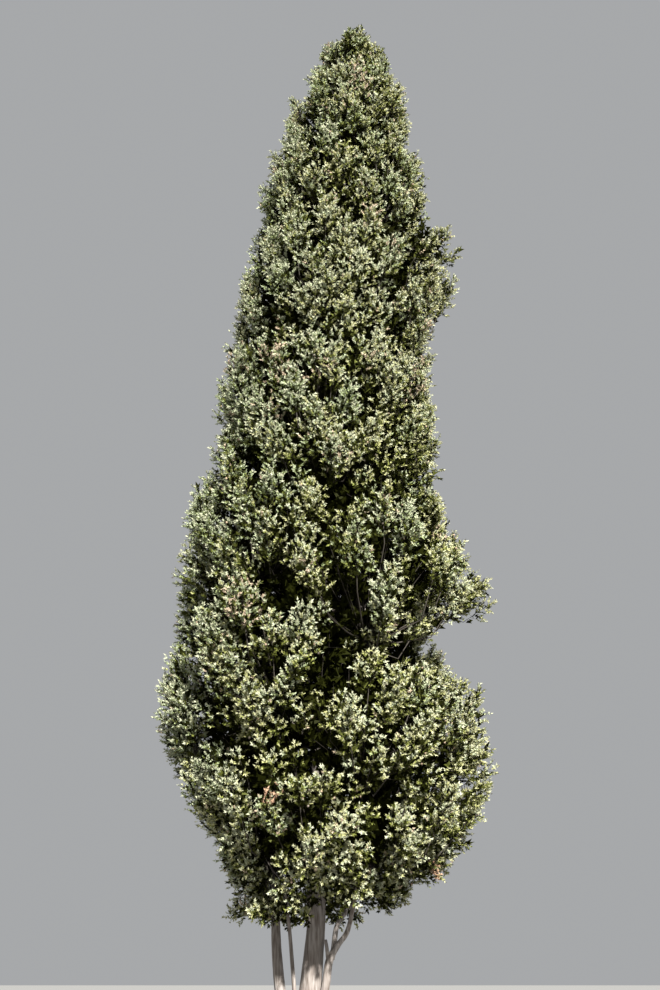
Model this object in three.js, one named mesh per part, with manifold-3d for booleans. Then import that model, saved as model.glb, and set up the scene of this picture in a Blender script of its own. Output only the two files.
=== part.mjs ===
// A broad Italian cypress, Cupressus sempervirens: one tapering trunk that leans a little, three smaller
// stems that leave its foot, one of them forked, and a dense crown in tiers of foliage masses that keep clear
// of one another. Units are millimetres, +Z is up, +X is to the right of the view from the front, -Y faces it.
// The origin is the middle of the flat cut at ground level.
import * as THREE from "three";
import { mergeVertices } from "three/addons/utils/BufferGeometryUtils.js";
import Module from "manifold-3d";

const wasm = await Module();
wasm.setup();

// Driving dimensions
const TREE_HEIGHT = 18000;
const TRUNK_TIP = 16500;
const CROWN_FOOT = 2500;
const GAP = 0.3; // clear air between a mass and the wood it grows on
const HALF_CLEFT = 5; // half of the clear air between two masses
const SEED = 1847;

// Height and sideways place of the trunk's middle: it leans to the right.
const TRUNK_LINE = [[0, 0], [1540, 100], [2240, 168], [6000, 245], [10000, 330], [14000, 590], [18000, 820]];

// Height and radius of the trunk: a broad foot that the side stems share, then a slow taper.
const TRUNK_TAPER = [
  [0, 430], [150, 352], [400, 292], [800, 246], [1150, 190], [1540, 150], [2240, 130], [6000, 108], [10000, 80],
  [14000, 46], [TRUNK_TIP, 18],
];
const ROOT_RIDGES = 7;
const ROOT_RIDGE_DEPTH = 0.13;
const ROOT_RIDGE_HEIGHT = 520;
const FOOT_NARROWING = 0.22; // how much less deep than wide the shared foot is
const FOOT_HEIGHT = 1500;
const ROOT_RIDGE_TURN = 0.6;

// The side stems, from where they leave the foot to where they enter the crown, and the limb and the stub
// that fork from the right stem. Each station is x, y, z and radius.
const LIMBS = {
  stem_left: [
    [-60, -10, 420, 92], [-165, -20, 740, 86], [-262, -30, 1160, 80], [-330, -30, 1620, 76], [-372, -10, 2060, 69],
    [-395, 60, 2500, 60], [-440, 190, 2950, 48],
  ],
  stem_thin: [
    [-40, -120, 780, 36], [-95, -150, 1250, 30], [-138, -165, 1700, 27], [-190, -210, 2240, 24],
    [-270, -430, 2850, 18],
  ],
  stem_right: [
    [190, -60, 900, 68], [262, -85, 1300, 61], [308, -100, 1560, 56], [355, -110, 1850, 52], [470, -130, 2040, 38],
    [590, -170, 2200, 33], [660, -270, 2450, 28], [725, -430, 2780, 22],
  ],
  limb_right: [
    [388, -80, 1860, 34], [410, -62, 1990, 36], [456, -30, 2286, 34], [600, 50, 2500, 31], [690, 120, 2640, 28],
    [805, 210, 2930, 24],
  ],
};
const LIMB_FACETS = [8, 10]; // sides round a limb and steps along it
const STUB_FACETS = [6, 4];
const STUB_RIGHT = [[330, -130, 1860, 24], [318, -122, 1990, 25], [300, -98, 2105, 20]];

// Four of the lowest masses grow on from the tips of the side stems and the limb, the others from the trunk.
const CARRIED_BY = { skirt_1: "stem_right", skirt_2: "limb_right", skirt_4: "stem_left", skirt_5: "stem_thin" };

// Height and radius of the crown's outline.
const CROWN_LINE = [
  [CROWN_FOOT, 1150], [2700, 1420], [3200, 1840], [4200, 2190], [5200, 2340], [7300, 2300], [9300, 1920],
  [11000, 1700], [12900, 1620], [14600, 1360], [16400, 980], [17100, 760], [17400, 620], [17700, 380],
  [TREE_HEIGHT, 100],
];

// Where the outline stands out or falls back: height, facing in degrees from the right, share of the radius
// and how far it spreads up and down.
const SWELLS = [
  { height: 13100, facing: 0, share: 0.42, spread: 450 },
  { height: 11700, facing: 5, share: -0.07, spread: 600 },
  { height: 10300, facing: 0, share: -0.13, spread: 600 },
  { height: 9750, facing: 180, share: -0.08, spread: 300 },
  { height: 9400, facing: -5, share: -0.07, spread: 300 },
  { height: 8600, facing: 5, share: -0.18, spread: 400 },
  { height: 7200, facing: 10, share: 0.17, spread: 350 },
  { height: 6500, facing: 0, share: -0.3, spread: 350 },
  { height: 6050, facing: -45, share: -0.4, spread: 350 },
  { height: 4400, facing: 5, share: 0.2, spread: 750 },
  { height: 3400, facing: 175, share: -0.27, spread: 800 },
  { height: 3100, facing: -20, share: 0.1, spread: 400 },
];
const SWELL_FOCUS = 3; // higher keeps a swell to a narrower stretch of the crown's girth

// The tiers of foliage, from the lowest: height of the masses' centres, number round the trunk, turn of the first.
const TIERS = [
  { name: "skirt", height: 3700, count: 6, turn: -30 },
  { name: "low", height: 5250, count: 6, turn: 0 },
  { name: "belly", height: 7300, count: 5, turn: 10 },
  { name: "middle", height: 9500, count: 5, turn: 46 },
  { name: "upper", height: 11700, count: 4, turn: 0 },
  { name: "shoulder", height: 13700, count: 4, turn: 45 },
  { name: "head", height: 15550, count: 3, turn: 30 },
  { name: "tip", height: 17150, count: 1, turn: 0 },
];

// How the masses of a tier are laid out. A step is half of the way from the tier below to the tier above.
const CENTRE_SHARE = 0.52; // how far out a mass has its centre, as a share of the crown's radius
const LIFT = 0.26; // how far up or down from its tier a mass may sit, in steps
const STRAY = 0.2; // how far a mass may stray round the trunk, as a share of the way to the next

// A mass's stem climbs from the wood to its hub, which its twigs fan out from.
const HUB_DROPS = [0.34, 0.24, 0.14]; // how far a hub may lie under its mass's middle, in steps
const HUB_ROOM = 60; // from a hub to the borders of its mass's space
const LOWEST_HUB = CROWN_FOOT + 650;
const STEM_RISE = 0.16; // how far a stem climbs, in steps
const STEM_SHARE = 0.36; // a stem's thickness, as a share of the trunk's there
const STEM_TAPER = { hub: 0.8, end: 0.6 }; // its thickness there, as shares of that at its foot
const STEM_FACETS = [5, 2]; // sides round it and steps along it

// The cores: rough lumps that fill the middle of each mass.
const CORE_SHARE = 0.83; // how far out a core reaches, as a share of the crown's radius
const CORE_TALLNESS = 0.84; // half of a core's height, in steps
const CORE_GIRTH = 0.86; // how wide a core is, as a share of its part of the crown's girth
const CORE_DEPTH = 0.38; // half of its depth, as a share of the crown's radius
const LONE_CORE = 0.6; // half of the width of a core that has its tier to itself, as a share of that radius
const LONE_TALLNESS = 0.5; // how much of the usual height that core has
const CORE_FOOT = CROWN_FOOT + 100; // no core hangs lower, though sprays do
const CORE_FOOT_SLOPE = 0.32; // how steeply the cores' foot climbs away from the trunk
const CORE_ROUGHNESS = { across: 0.36, up: 0.12 };
const CORE_SIDES = 7;
const CORE_RINGS = [[-1, 0], [-0.72, 0.84], [-0.1, 1.06], [0.55, 0.78], [1, 0]]; // height and width of its rings

// The sprays: foliage plumes that stand out of the cores.
const GOLDEN_ANGLE = Math.PI * (3 - Math.sqrt(5));
const SITE_SPACING = { least: 345, perRadius: 0.2 };
const SITE_MARGIN = 60; // from the crown's foot to the first site, and from the last to its top
const LEAST_GIRTH_RADIUS = 420; // the spiral climbs no faster than round this radius
const SPRAY_MIDDLE = { down: 0.4, out: 0.85 }; // shares of its length under its tip, and of the radius
const LEADER_LENGTH = 620;
const SPRAY_LENGTH = 1.45; // of the spacing of the sites
const SPRAY_LENGTHS = { least: 0.85, range: 0.3 }; // how much that varies
const SPRAY_REACH = { least: 0.95, range: 0.1 }; // where a tip lies, as a share of the crown's radius
const SPRAY_WIDTH = 0.165; // of the spray's length, to each side
const SPRAY_BELLY = 0.56; // where along a spray it is widest
const SPRAY_FACETS = [3, 3];
const TWIG_RADIUS = { least: 8, perLength: 0.012 };
const CLIMB = [[2500, -0.1], [3300, 0.25], [5000, 0.7], [18000, 0.95]]; // how much a spray turns up, by height
const SWAY = 0.35;
const FITTINGS = [[1, 0], [0.9, 0.14], [0.82, 0.28], [0.7, 0.4]]; // share of its length, share of the way back

const UP = new THREE.Vector3(0, 0, 1);

// Value at one height of a list of [height, value] stations, straight between them.
function at(height, stations) {
  if (height <= stations[0][0]) return stations[0][1];
  for (let i = 1; i < stations.length; i++) {
    const [low, before] = stations[i - 1];
    const [high, after] = stations[i];
    if (height <= high) return before + ((after - before) * (height - low)) / (high - low);
  }
  return stations[stations.length - 1][1];
}

// A repeatable run of numbers from 0 to 1.
function seeded(seed) {
  let state = seed;
  return () => {
    state = (state * 48271) % 2147483647;
    return state / 2147483647;
  };
}

const trunkMiddle = (height) => new THREE.Vector3(at(height, TRUNK_LINE), 0, height);

// Radius of the crown at a height and a facing, in radians from the right.
function crownRadius(height, facing) {
  let share = 1;
  for (const swell of SWELLS) {
    const towards = Math.max(0, Math.cos(facing - THREE.MathUtils.degToRad(swell.facing))) ** SWELL_FOCUS;
    share += swell.share * towards * Math.exp(-(((height - swell.height) / swell.spread) ** 2));
  }
  return at(height, CROWN_LINE) * share;
}

// The point at a height and a facing, at a share of the crown's radius.
function crownPoint(height, facing, share) {
  const outward = new THREE.Vector3(Math.cos(facing), Math.sin(facing), 0);
  return trunkMiddle(height).addScaledVector(outward, crownRadius(height, facing) * share);
}

// Moves each vertex of a shape that stands along Y from -0.5 to 0.5 to place(along, x, z).
function shaped(shape, place) {
  const position = shape.getAttribute("position");
  for (let i = 0; i < position.count; i++) {
    const p = place(position.getY(i) + 0.5, position.getX(i), position.getZ(i));
    position.setXYZ(i, p.x, p.y, p.z);
  }
  return shape;
}

// A three.js geometry as a manifold-3d solid. Triangles that an end of no width collapses are left out.
function solid(geometry) {
  const bare = geometry.clone();
  for (const name of Object.keys(bare.attributes)) if (name !== "position") bare.deleteAttribute(name);
  const merged = mergeVertices(bare, 1e-3);
  const corners = merged.index.array;
  const kept = [];
  for (let i = 0; i < corners.length; i += 3) {
    const triangle = corners.slice(i, i + 3);
    if (new Set(triangle).size === 3) kept.push(...triangle);
  }
  const mesh = new wasm.Mesh({
    numProp: 3,
    vertProperties: merged.getAttribute("position").array,
    triVerts: new Uint32Array(kept),
  });
  return new wasm.Manifold(mesh);
}

// A manifold-3d solid as a named three.js mesh.
function named(name, body, material) {
  const mesh = body.getMesh();
  const geometry = new THREE.BufferGeometry();
  geometry.setAttribute("position", new THREE.BufferAttribute(new Float32Array(mesh.vertProperties), 3));
  geometry.setIndex(new THREE.BufferAttribute(new Uint32Array(mesh.triVerts), 1));
  geometry.computeVertexNormals();
  const made = new THREE.Mesh(geometry, material);
  made.name = name;
  return made;
}

// The trunk: level rings up its middle line, with ridges that run out into the roots. grown makes it that much
// fatter.
function trunkSolid(grown = 0) {
  const sides = 14;
  const steps = 18;
  const crowding = 2.1; // packs the rings towards the ground, where the shape changes most
  const top = TRUNK_TIP + grown;
  const ring = (along, x, z) => {
    const height = top * along ** crowding;
    const facing = Math.atan2(-z, x);
    const nearGround = Math.exp(-height / ROOT_RIDGE_HEIGHT);
    const ridges = 1 + ROOT_RIDGE_DEPTH * nearGround * Math.cos(ROOT_RIDGES * facing + ROOT_RIDGE_TURN);
    const narrowing = 1 - FOOT_NARROWING * Math.max(0, 1 - height / FOOT_HEIGHT);
    const radius = at(height, TRUNK_TAPER) * ridges + grown;
    return trunkMiddle(height).add(new THREE.Vector3(x * radius, -z * radius * narrowing, 0));
  };
  return solid(shaped(new THREE.CylinderGeometry(1, 1, 1, sides, steps), ring));
}

// A tapering limb along a smooth line. stations are [x, y, z, radius]. grown makes it fatter and its end longer.
function limbShape(stations, [sides, steps], grown = 0) {
  const points = stations.map(([x, y, z]) => new THREE.Vector3(x, y, z));
  const path = new THREE.CatmullRomCurve3(points);
  const frames = path.computeFrenetFrames(steps, false);
  const radii = stations.map((station) => station[3]);
  const radiusAt = (along) => {
    const place = along * (radii.length - 1);
    const before = Math.min(Math.floor(place), radii.length - 2);
    return radii[before] + (radii[before + 1] - radii[before]) * (place - before) + grown;
  };
  const ring = (along, x, z) => {
    const step = Math.round(along * steps);
    const radius = radiusAt(along);
    const longer = step === steps ? grown : 0;
    return path
      .getPoint(along)
      .addScaledVector(frames.tangents[step], longer)
      .addScaledVector(frames.normals[step], x * radius)
      .addScaledVector(frames.binormals[step], -z * radius);
  };
  return shaped(new THREE.CylinderGeometry(1, 1, 1, sides, steps), ring);
}

const limbSolid = (...measures) => solid(limbShape(...measures));

// The masses of every tier: a name, the way each faces and its centre.
function layOutMasses(random) {
  const masses = [];
  TIERS.forEach((tier, level) => {
    const below = level ? TIERS[level - 1].height : CROWN_FOOT;
    const above = level + 1 < TIERS.length ? TIERS[level + 1].height : TREE_HEIGHT;
    const step = (above - below) / 2;
    for (let i = 0; i < tier.count; i++) {
      const alone = tier.count === 1;
      const facing = THREE.MathUtils.degToRad(tier.turn + (360 * (i + STRAY * (random() - 0.5))) / tier.count);
      const height = alone ? tier.height : tier.height + LIFT * step * (2 * random() - 1);
      const centre = crownPoint(height, facing, alone ? 0 : CENTRE_SHARE);
      const name = alone ? tier.name : tier.name + "_" + (i + 1);
      masses.push({ name, tier, facing, centre, step });
    }
  });
  return masses;
}

const random = seeded(SEED);
const masses = layOutMasses(random);

// The flat borders of a mass's own space: each is halfway to another mass's centre, less half of the cleft.
function bordersOf(mass) {
  return masses
    .filter((other) => other !== mass)
    .map((other) => {
      const inward = mass.centre.clone().sub(other.centre).normalize();
      const halfway = mass.centre.clone().add(other.centre).multiplyScalar(0.5);
      return { inward, offset: inward.dot(halfway) + HALF_CLEFT };
    });
}

for (const mass of masses) mass.borders = bordersOf(mass);

const keepsIn = (points, mass, room = 0) =>
  points.every((p) => mass.borders.every(({ inward, offset }) => inward.dot(p) > offset + room));

// The line of a mass's stem: from the wood to the hub, which its sprays fan out from, and on to its middle.
function addStem(mass) {
  const { centre, step } = mass;
  const hubAt = (drop) => centre.clone().addScaledVector(UP, -drop * step);
  const deepInside = (hub) => hub.z > LOWEST_HUB && keepsIn([hub], mass, HUB_ROOM);
  mass.hub = HUB_DROPS.map(hubAt).find(deepInside) || centre.clone();
  const limb = LIMBS[CARRIED_BY[mass.name]];
  const onTrunk = trunkMiddle(Math.min(mass.hub.z - STEM_RISE * step, TRUNK_TIP));
  const foot = limb ? new THREE.Vector3(...limb.at(-1)) : onTrunk;
  const radius = limb ? limb.at(-1)[3] : at(foot.z, TRUNK_TAPER) * STEM_SHARE;
  mass.stem = [
    [...foot.toArray(), radius],
    [...mass.hub.toArray(), radius * STEM_TAPER.hub],
    [...centre.toArray(), radius * STEM_TAPER.end],
  ];
}

masses.forEach(addStem);

// The mass whose centre is nearest to a point.
function ownerOf(point) {
  return masses.reduce((best, mass) =>
    point.distanceToSquared(mass.centre) < point.distanceToSquared(best.centre) ? mass : best,
  );
}

// The core: a rough lump, fuller below and narrower above, out to a share of the crown's radius.
function coreSolid(mass, random) {
  const { centre, facing, step, tier } = mass;
  const alone = tier.count === 1;
  const radius = crownRadius(centre.z, facing);
  const girth = alone ? radius * LONE_CORE : (Math.PI * radius * CORE_GIRTH) / tier.count;
  const depth = radius * (alone ? LONE_CORE : CORE_DEPTH);
  const tallness = CORE_TALLNESS * step * (alone ? LONE_TALLNESS : 1);
  const outward = new THREE.Vector3(Math.cos(facing), Math.sin(facing), 0);
  const sideways = UP.clone().cross(outward);
  const noises = Array.from({ length: CORE_SIDES }, () => CORE_RINGS.map(() => random() - 0.5));
  const place = (along, x, z) => {
    const ring = Math.round(along * (CORE_RINGS.length - 1));
    const side = Math.round((Math.atan2(z, x) / (2 * Math.PI) + 1) * CORE_SIDES) % CORE_SIDES;
    const [rise, width] = CORE_RINGS[ring];
    const noise = width ? noises[side][ring] : 0;
    const spread = width * (1 + CORE_ROUGHNESS.across * noise);
    const p = centre
      .clone()
      .addScaledVector(UP, (rise + CORE_ROUGHNESS.up * noise) * tallness)
      .addScaledVector(outward, x * depth * spread)
      .addScaledVector(sideways, -z * girth * spread);
    const middle = trunkMiddle(p.z);
    const reach = Math.hypot(p.x - middle.x, p.y - middle.y);
    const most = crownRadius(p.z, Math.atan2(p.y - middle.y, p.x - middle.x)) * CORE_SHARE;
    return reach > most ? middle.add(p.sub(middle).multiplyScalar(most / reach)) : p;
  };
  const underside = UP.clone().addScaledVector(outward, -CORE_FOOT_SLOPE).normalize();
  return solid(shaped(new THREE.CylinderGeometry(1, 1, 1, CORE_SIDES, CORE_RINGS.length - 1), place)).trimByPlane(
    underside.toArray(),
    underside.dot(trunkMiddle(CORE_FOOT)),
  );
}

// The tips of the sprays run up the crown on a golden-angle spiral, each with a like share of its surface.
function layOutSites(random) {
  const sites = [];
  let height = CROWN_FOOT + SITE_MARGIN;
  for (let n = 0; height < TREE_HEIGHT - SITE_MARGIN; n++) {
    const facing = (n * GOLDEN_ANGLE) % (2 * Math.PI);
    const spacing = SITE_SPACING.least + SITE_SPACING.perRadius * crownRadius(height, facing);
    sites.push({
      height,
      facing,
      reach: SPRAY_REACH.least + SPRAY_REACH.range * random(),
      sway: [random() - 0.5, random() - 0.5, random() - 0.5],
      length: spacing * SPRAY_LENGTH * (SPRAY_LENGTHS.least + SPRAY_LENGTHS.range * random()),
    });
    height += spacing ** 2 / (2 * Math.PI * Math.max(at(height, CROWN_LINE), LEAST_GIRTH_RADIUS));
  }
  sites.push({ height: TREE_HEIGHT, facing: 0, reach: 0, sway: [0, 0, 0], length: LEADER_LENGTH });
  return sites;
}

// The angle from one facing to another, the short way round.
const turnTo = (from, to) => Math.atan2(Math.sin(to - from), Math.cos(to - from));

// Where a spray's tip and direction come to lie once it is drawn back by a share of the way to its mass's middle.
// The sprays of a mass fan out from its hub, and sway a little.
function placeSite(site, mass, back) {
  const height = site.height + (mass.centre.z - site.height) * back;
  const facing = site.facing + turnTo(site.facing, mass.facing) * back * (mass.tier.count > 1 ? 1 : 0);
  const tip = crownPoint(height, facing, site.reach);
  const along = tip.clone().sub(mass.hub).normalize();
  along.addScaledVector(UP, at(height, CLIMB)).addScaledVector(new THREE.Vector3(...site.sway), SWAY).normalize();
  return { tip, along };
}

// A spray on its three-sided twig from the hub, widest at its belly.
function sprayShape(mass, { tip, along }, length) {
  const radius = TWIG_RADIUS.least + TWIG_RADIUS.perLength * length;
  const neck = tip.clone().addScaledVector(along, -length);
  const belly = tip.clone().addScaledVector(along, -length * (1 - SPRAY_BELLY));
  const places = [mass.hub, neck, belly, tip];
  const sizes = [radius * 2, radius, length * SPRAY_WIDTH, 0];
  return limbShape(places.map((place, i) => [...place.toArray(), sizes[i]]), SPRAY_FACETS);
}

const cornersOf = (shape) => {
  const position = shape.getAttribute("position");
  return Array.from({ length: position.count }, (_, i) => new THREE.Vector3().fromBufferAttribute(position, i));
};

// The wood, fattened by the gap, that each mass is cut clear of.
const clearOfWood = wasm.Manifold.union([
  trunkSolid(GAP),
  ...Object.values(LIMBS).map((stations) => limbSolid(stations, LIMB_FACETS, GAP)),
  limbSolid(STUB_RIGHT, STUB_FACETS, GAP),
]);

const largest = (body) =>
  body.decompose().reduce((best, piece) => (piece.volume() > best.volume() ? piece : best));

// A spray that keeps to the mass's space and clear of the wood, or nothing.
function sprayThatFits(mass, site, wood) {
  for (const [share, back] of FITTINGS) {
    const shape = sprayShape(mass, placeSite(site, mass, back), site.length * share);
    if (!keepsIn(cornersOf(shape), mass)) continue;
    const spray = solid(shape);
    if (spray.intersect(wood).isEmpty()) return spray;
  }
  return null;
}

// One mass of foliage: its core and stem, cut to its own space, with the sprays that keep to it.
function massSolid(mass, sites, random) {
  const others = masses.filter((other) => other !== mass);
  const otherStems = others.map((other) => limbSolid(other.stem, STEM_FACETS, GAP));
  const wood = wasm.Manifold.union([clearOfWood, ...otherStems]);
  let core = coreSolid(mass, random);
  for (const { inward, offset } of mass.borders) core = core.trimByPlane(inward.toArray(), offset);
  const sprays = sites.map((site) => sprayThatFits(mass, site, wood)).filter(Boolean);
  const stem = limbSolid(mass.stem, STEM_FACETS);
  return largest(wasm.Manifold.union([core, stem, ...sprays]).subtract(wood));
}

const bark = new THREE.MeshStandardMaterial({ color: 0x9a8878, roughness: 0.92, metalness: 0 });
const leafage = new THREE.MeshStandardMaterial({ color: 0x6f7d45, roughness: 0.85, metalness: 0 });

const tree = new THREE.Group();
const trunk = trunkSolid();
tree.add(named("trunk", trunk, bark));

// Each side stem is cut clear of the trunk, and what forks from the right stem is cut clear of both.
const grownTrunk = trunkSolid(GAP);
const grownStem = limbSolid(LIMBS.stem_right, LIMB_FACETS, GAP);
for (const [name, stations] of Object.entries(LIMBS)) {
  const cut = limbSolid(stations, LIMB_FACETS).subtract(grownTrunk);
  tree.add(named(name, largest(name === "limb_right" ? cut.subtract(grownStem) : cut), bark));
}
const stub = limbSolid(STUB_RIGHT, STUB_FACETS).subtract(grownStem);
tree.add(named("stub_right", largest(stub), bark));

// Each spray belongs to the mass whose space holds its middle.
const sites = layOutSites(random);
for (const site of sites) {
  const middle = crownPoint(site.height - SPRAY_MIDDLE.down * site.length, site.facing, SPRAY_MIDDLE.out);
  site.owner = ownerOf(middle);
}
for (const mass of masses) {
  const own = sites.filter((site) => site.owner === mass);
  tree.add(named(mass.name, massSolid(mass, own, random), leafage));
}

export default tree;
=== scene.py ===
# %% [markdown]
# # An Italian cypress
# A broad Italian cypress is a single leaning trunk with a few slimmer stems at its foot, wrapped in a dense
# coat of upswept sprays. The trunk and stems could be sculpted and the leaves scattered as instances, but a
# tree is easier to control when every part grows by a rule. So this lesson repeats the rule of the solid
# model in the frame, step by step, and carries it on to twigs and sprays too fine for solids.

# %% Load the frame
import math

import bmesh
import bpy
import numpy as np
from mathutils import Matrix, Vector


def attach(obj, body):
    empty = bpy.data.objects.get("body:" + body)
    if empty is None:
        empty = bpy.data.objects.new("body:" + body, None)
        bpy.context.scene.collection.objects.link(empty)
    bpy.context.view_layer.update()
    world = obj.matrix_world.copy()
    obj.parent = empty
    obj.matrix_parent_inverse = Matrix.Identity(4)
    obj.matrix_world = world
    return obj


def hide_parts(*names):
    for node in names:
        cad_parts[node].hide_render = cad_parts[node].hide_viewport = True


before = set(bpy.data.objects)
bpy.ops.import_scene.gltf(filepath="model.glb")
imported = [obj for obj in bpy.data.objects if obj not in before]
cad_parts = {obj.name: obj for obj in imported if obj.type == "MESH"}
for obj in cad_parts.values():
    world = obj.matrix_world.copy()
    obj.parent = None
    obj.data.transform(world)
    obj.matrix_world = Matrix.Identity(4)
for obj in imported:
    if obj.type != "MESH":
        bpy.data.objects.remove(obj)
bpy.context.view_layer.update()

# %% [markdown]
# ## The camera first
# The photograph was taken from standing height, about seventeen metres away, tipped up until the horizon
# fell just inside the lower edge, so it shows the stems from a metre and a half up. A tree that is looked
# up at narrows towards its top, so every later choice is judged through this camera. A shifted lens would
# keep the tree upright, but the real one was simply tipped.

# %% Camera
EYE = (0.36, -17.47, 1.6)
TIPPED_UP = math.radians(22.007)
LENS = 43.636
FARTHEST = 2000

camera = bpy.data.objects.new("camera", bpy.data.cameras.new("camera"))
bpy.context.scene.collection.objects.link(camera)
camera.data.lens = LENS
camera.data.clip_end = FARTHEST
camera.location = EYE
camera.rotation_euler = (math.pi / 2 + TIPPED_UP, 0, 0)
bpy.context.scene.camera = camera
print("camera", EYE, "tipped up", round(math.degrees(TIPPED_UP), 1), "degrees")

# %% [markdown]
# ## The measures that the crown is grown from
# A cypress crown is almost a surface of revolution: a radius for each height round a trunk that leans a
# little. Where a heavy bough bulges out, or a gap falls back, a swell adds to that radius or takes from it.
# These are the same heights, radii and swells as in the solid model, here in metres.

# %% Measures
SEED = 1847
TREE_HEIGHT = 18.0
TRUNK_TIP = 16.5
CROWN_FOOT = 2.5
HALF_CLEFT = 0.005  # half the space that the solid model leaves between two masses

TRUNK_LINE = [(0, 0), (1.54, 0.1), (2.24, 0.168), (6, 0.245), (10, 0.33), (14, 0.59), (18, 0.82)]
TRUNK_TAPER = [
    (0, 0.43), (0.15, 0.352), (0.4, 0.292), (0.8, 0.246), (1.15, 0.19), (1.54, 0.15), (2.24, 0.13),
    (6, 0.108), (10, 0.08), (14, 0.046), (TRUNK_TIP, 0.018),
]
CROWN_LINE = [
    (CROWN_FOOT, 1.15), (2.7, 1.42), (3.2, 1.84), (4.2, 2.19), (5.2, 2.34), (7.3, 2.3), (9.3, 1.92),
    (11, 1.7), (12.9, 1.62), (14.6, 1.36), (16.4, 0.98), (17.1, 0.76), (17.4, 0.62), (17.7, 0.38),
    (TREE_HEIGHT, 0.1),
]
SWELLS = [  # height, facing in degrees from the right, share of the radius, spread up and down
    (13.1, 0, 0.42, 0.45), (11.7, 5, -0.07, 0.6), (10.3, 0, -0.13, 0.6), (9.75, 180, -0.08, 0.3),
    (9.4, -5, -0.07, 0.3), (8.6, 5, -0.18, 0.4), (7.2, 10, 0.17, 0.35), (6.5, 0, -0.3, 0.35),
    (6.05, -45, -0.4, 0.35), (4.4, 5, 0.2, 0.75), (3.4, 175, -0.27, 0.8), (3.1, -20, 0.1, 0.4),
]
SWELL_FOCUS = 3  # the higher, the narrower a swell is round the trunk
TIERS = [  # name, height of the masses' centres, how many, turn of the first in degrees
    ("skirt", 3.7, 6, -30), ("low", 5.25, 6, 0), ("belly", 7.3, 5, 10), ("middle", 9.5, 5, 46),
    ("upper", 11.7, 4, 0), ("shoulder", 13.7, 4, 45), ("head", 15.55, 3, 30), ("tip", 17.15, 1, 0),
]
GOLDEN_ANGLE = math.pi * (3 - math.sqrt(5))
MULTIPLIER, MODULUS = 48271, 2147483647  # of the solid model's random numbers
UP = np.array([0.0, 0.0, 1.0])


def at(height, stations):
    """Value at a height, or at each of many, of a list of (height, value), straight between them."""
    heights, values = zip(*stations)
    return np.interp(height, heights, values)


def seeded(seed):
    """The solid model's own repeatable run of numbers from 0 to 1."""
    state = seed
    while True:
        state = state * MULTIPLIER % MODULUS
        yield state / MODULUS


def trunk_middle(height):
    height = np.asarray(height, float)
    return np.stack([at(height, TRUNK_LINE), np.zeros_like(height), height], axis=-1)


def crown_radius(height, facing):
    share = 1.0
    for swell_height, turn, amount, spread in SWELLS:
        towards = np.maximum(0, np.cos(facing - math.radians(turn))) ** SWELL_FOCUS
        share = share + amount * towards * np.exp(-(((height - swell_height) / spread) ** 2))
    return at(height, CROWN_LINE) * share


def outward(facing):
    return np.stack([np.cos(facing), np.sin(facing), np.zeros_like(facing)], axis=-1)


def crown_point(height, facing, share):
    """The point at a height and a facing, at a share of the crown's radius."""
    height, facing = np.asarray(height, float), np.asarray(facing, float)
    reach = crown_radius(height, facing) * share
    return trunk_middle(height) + outward(facing) * np.asarray(reach)[..., None]


def unit(vectors):
    return vectors / np.linalg.norm(vectors, axis=-1, keepdims=True)


print("crown", round(2 * max(radius for _, radius in CROWN_LINE), 2), "m across at its widest")

# %% [markdown]
# ## Boughs that carry the foliage
# The real crown is a stack of boughs that leave the trunk, turn up at once and fill one part of the crown
# each. They are laid out here in tiers, drawing the same random numbers in the same order as the solid
# model, so that each bough comes to stand exactly where its solid does. Scattering them freely would be
# quicker, but then nothing would match.

# %% Masses
CENTRE_SHARE = 0.52  # how far out a mass has its centre, as a share of the crown's radius
LIFT = 0.26  # how far up or down from its tier it may sit, in steps
STRAY = 0.2  # how far round the trunk it may stray, as a share of the way to the next
HUB_DROPS = (0.34, 0.24, 0.14)  # how far its hub may lie under its middle, in steps
HUB_ROOM = 0.06  # how far inside the mass's borders it has to lie
LOWEST_HUB = CROWN_FOOT + 0.65

random = seeded(SEED)
masses = []
for level, (tier, tier_height, count, turn) in enumerate(TIERS):
    below = TIERS[level - 1][1] if level else CROWN_FOOT
    above = TIERS[level + 1][1] if level + 1 < len(TIERS) else TREE_HEIGHT
    step = (above - below) / 2
    for i in range(count):
        alone = count == 1
        facing = math.radians(turn + 360 * (i + STRAY * (next(random) - 0.5)) / count)
        height = tier_height if alone else tier_height + LIFT * step * (2 * next(random) - 1)
        centre = crown_point(height, facing, 0 if alone else CENTRE_SHARE)
        mass = {"name": tier if alone else f"{tier}_{i + 1}", "tier": tier, "facing": facing}
        masses.append({**mass, "centre": centre, "step": step, "alone": alone})
centres = np.array([mass["centre"] for mass in masses])

for i, mass in enumerate(masses):
    inward = unit(mass["centre"] - np.delete(centres, i, axis=0))
    halfway = (mass["centre"] + np.delete(centres, i, axis=0)) / 2
    mass["borders"] = inward, (inward * halfway).sum(axis=1) + HALF_CLEFT


def keeps_in(points, mass, room=0.0):
    """True if all the points lie inside the flat borders of a mass's own space."""
    inward, offset = mass["borders"]
    return bool(np.all(np.asarray(points) @ inward.T > offset + room))


for mass in masses:
    hubs = [mass["centre"] - UP * drop * mass["step"] for drop in HUB_DROPS]
    inside = [hub for hub in hubs if hub[2] > LOWEST_HUB and keeps_in([hub], mass, HUB_ROOM)]
    mass["hub"] = inside[0] if inside else mass["centre"]
hubs = np.array([mass["hub"] for mass in masses])
print(len(masses), "boughs of foliage, from", masses[0]["name"], "to", masses[-1]["name"])

# %% [markdown]
# ## Plumes
# From each bough's hub the foliage fans out into plumes, the upswept tongues that give a cypress its ragged
# edge. Their tips follow a golden-angle spiral up the crown, which spreads them as evenly as the seeds of a
# sunflower. This first spiral repeats the solid model's plumes. Sites thrown at random would bunch up and
# leave bald places.

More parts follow.
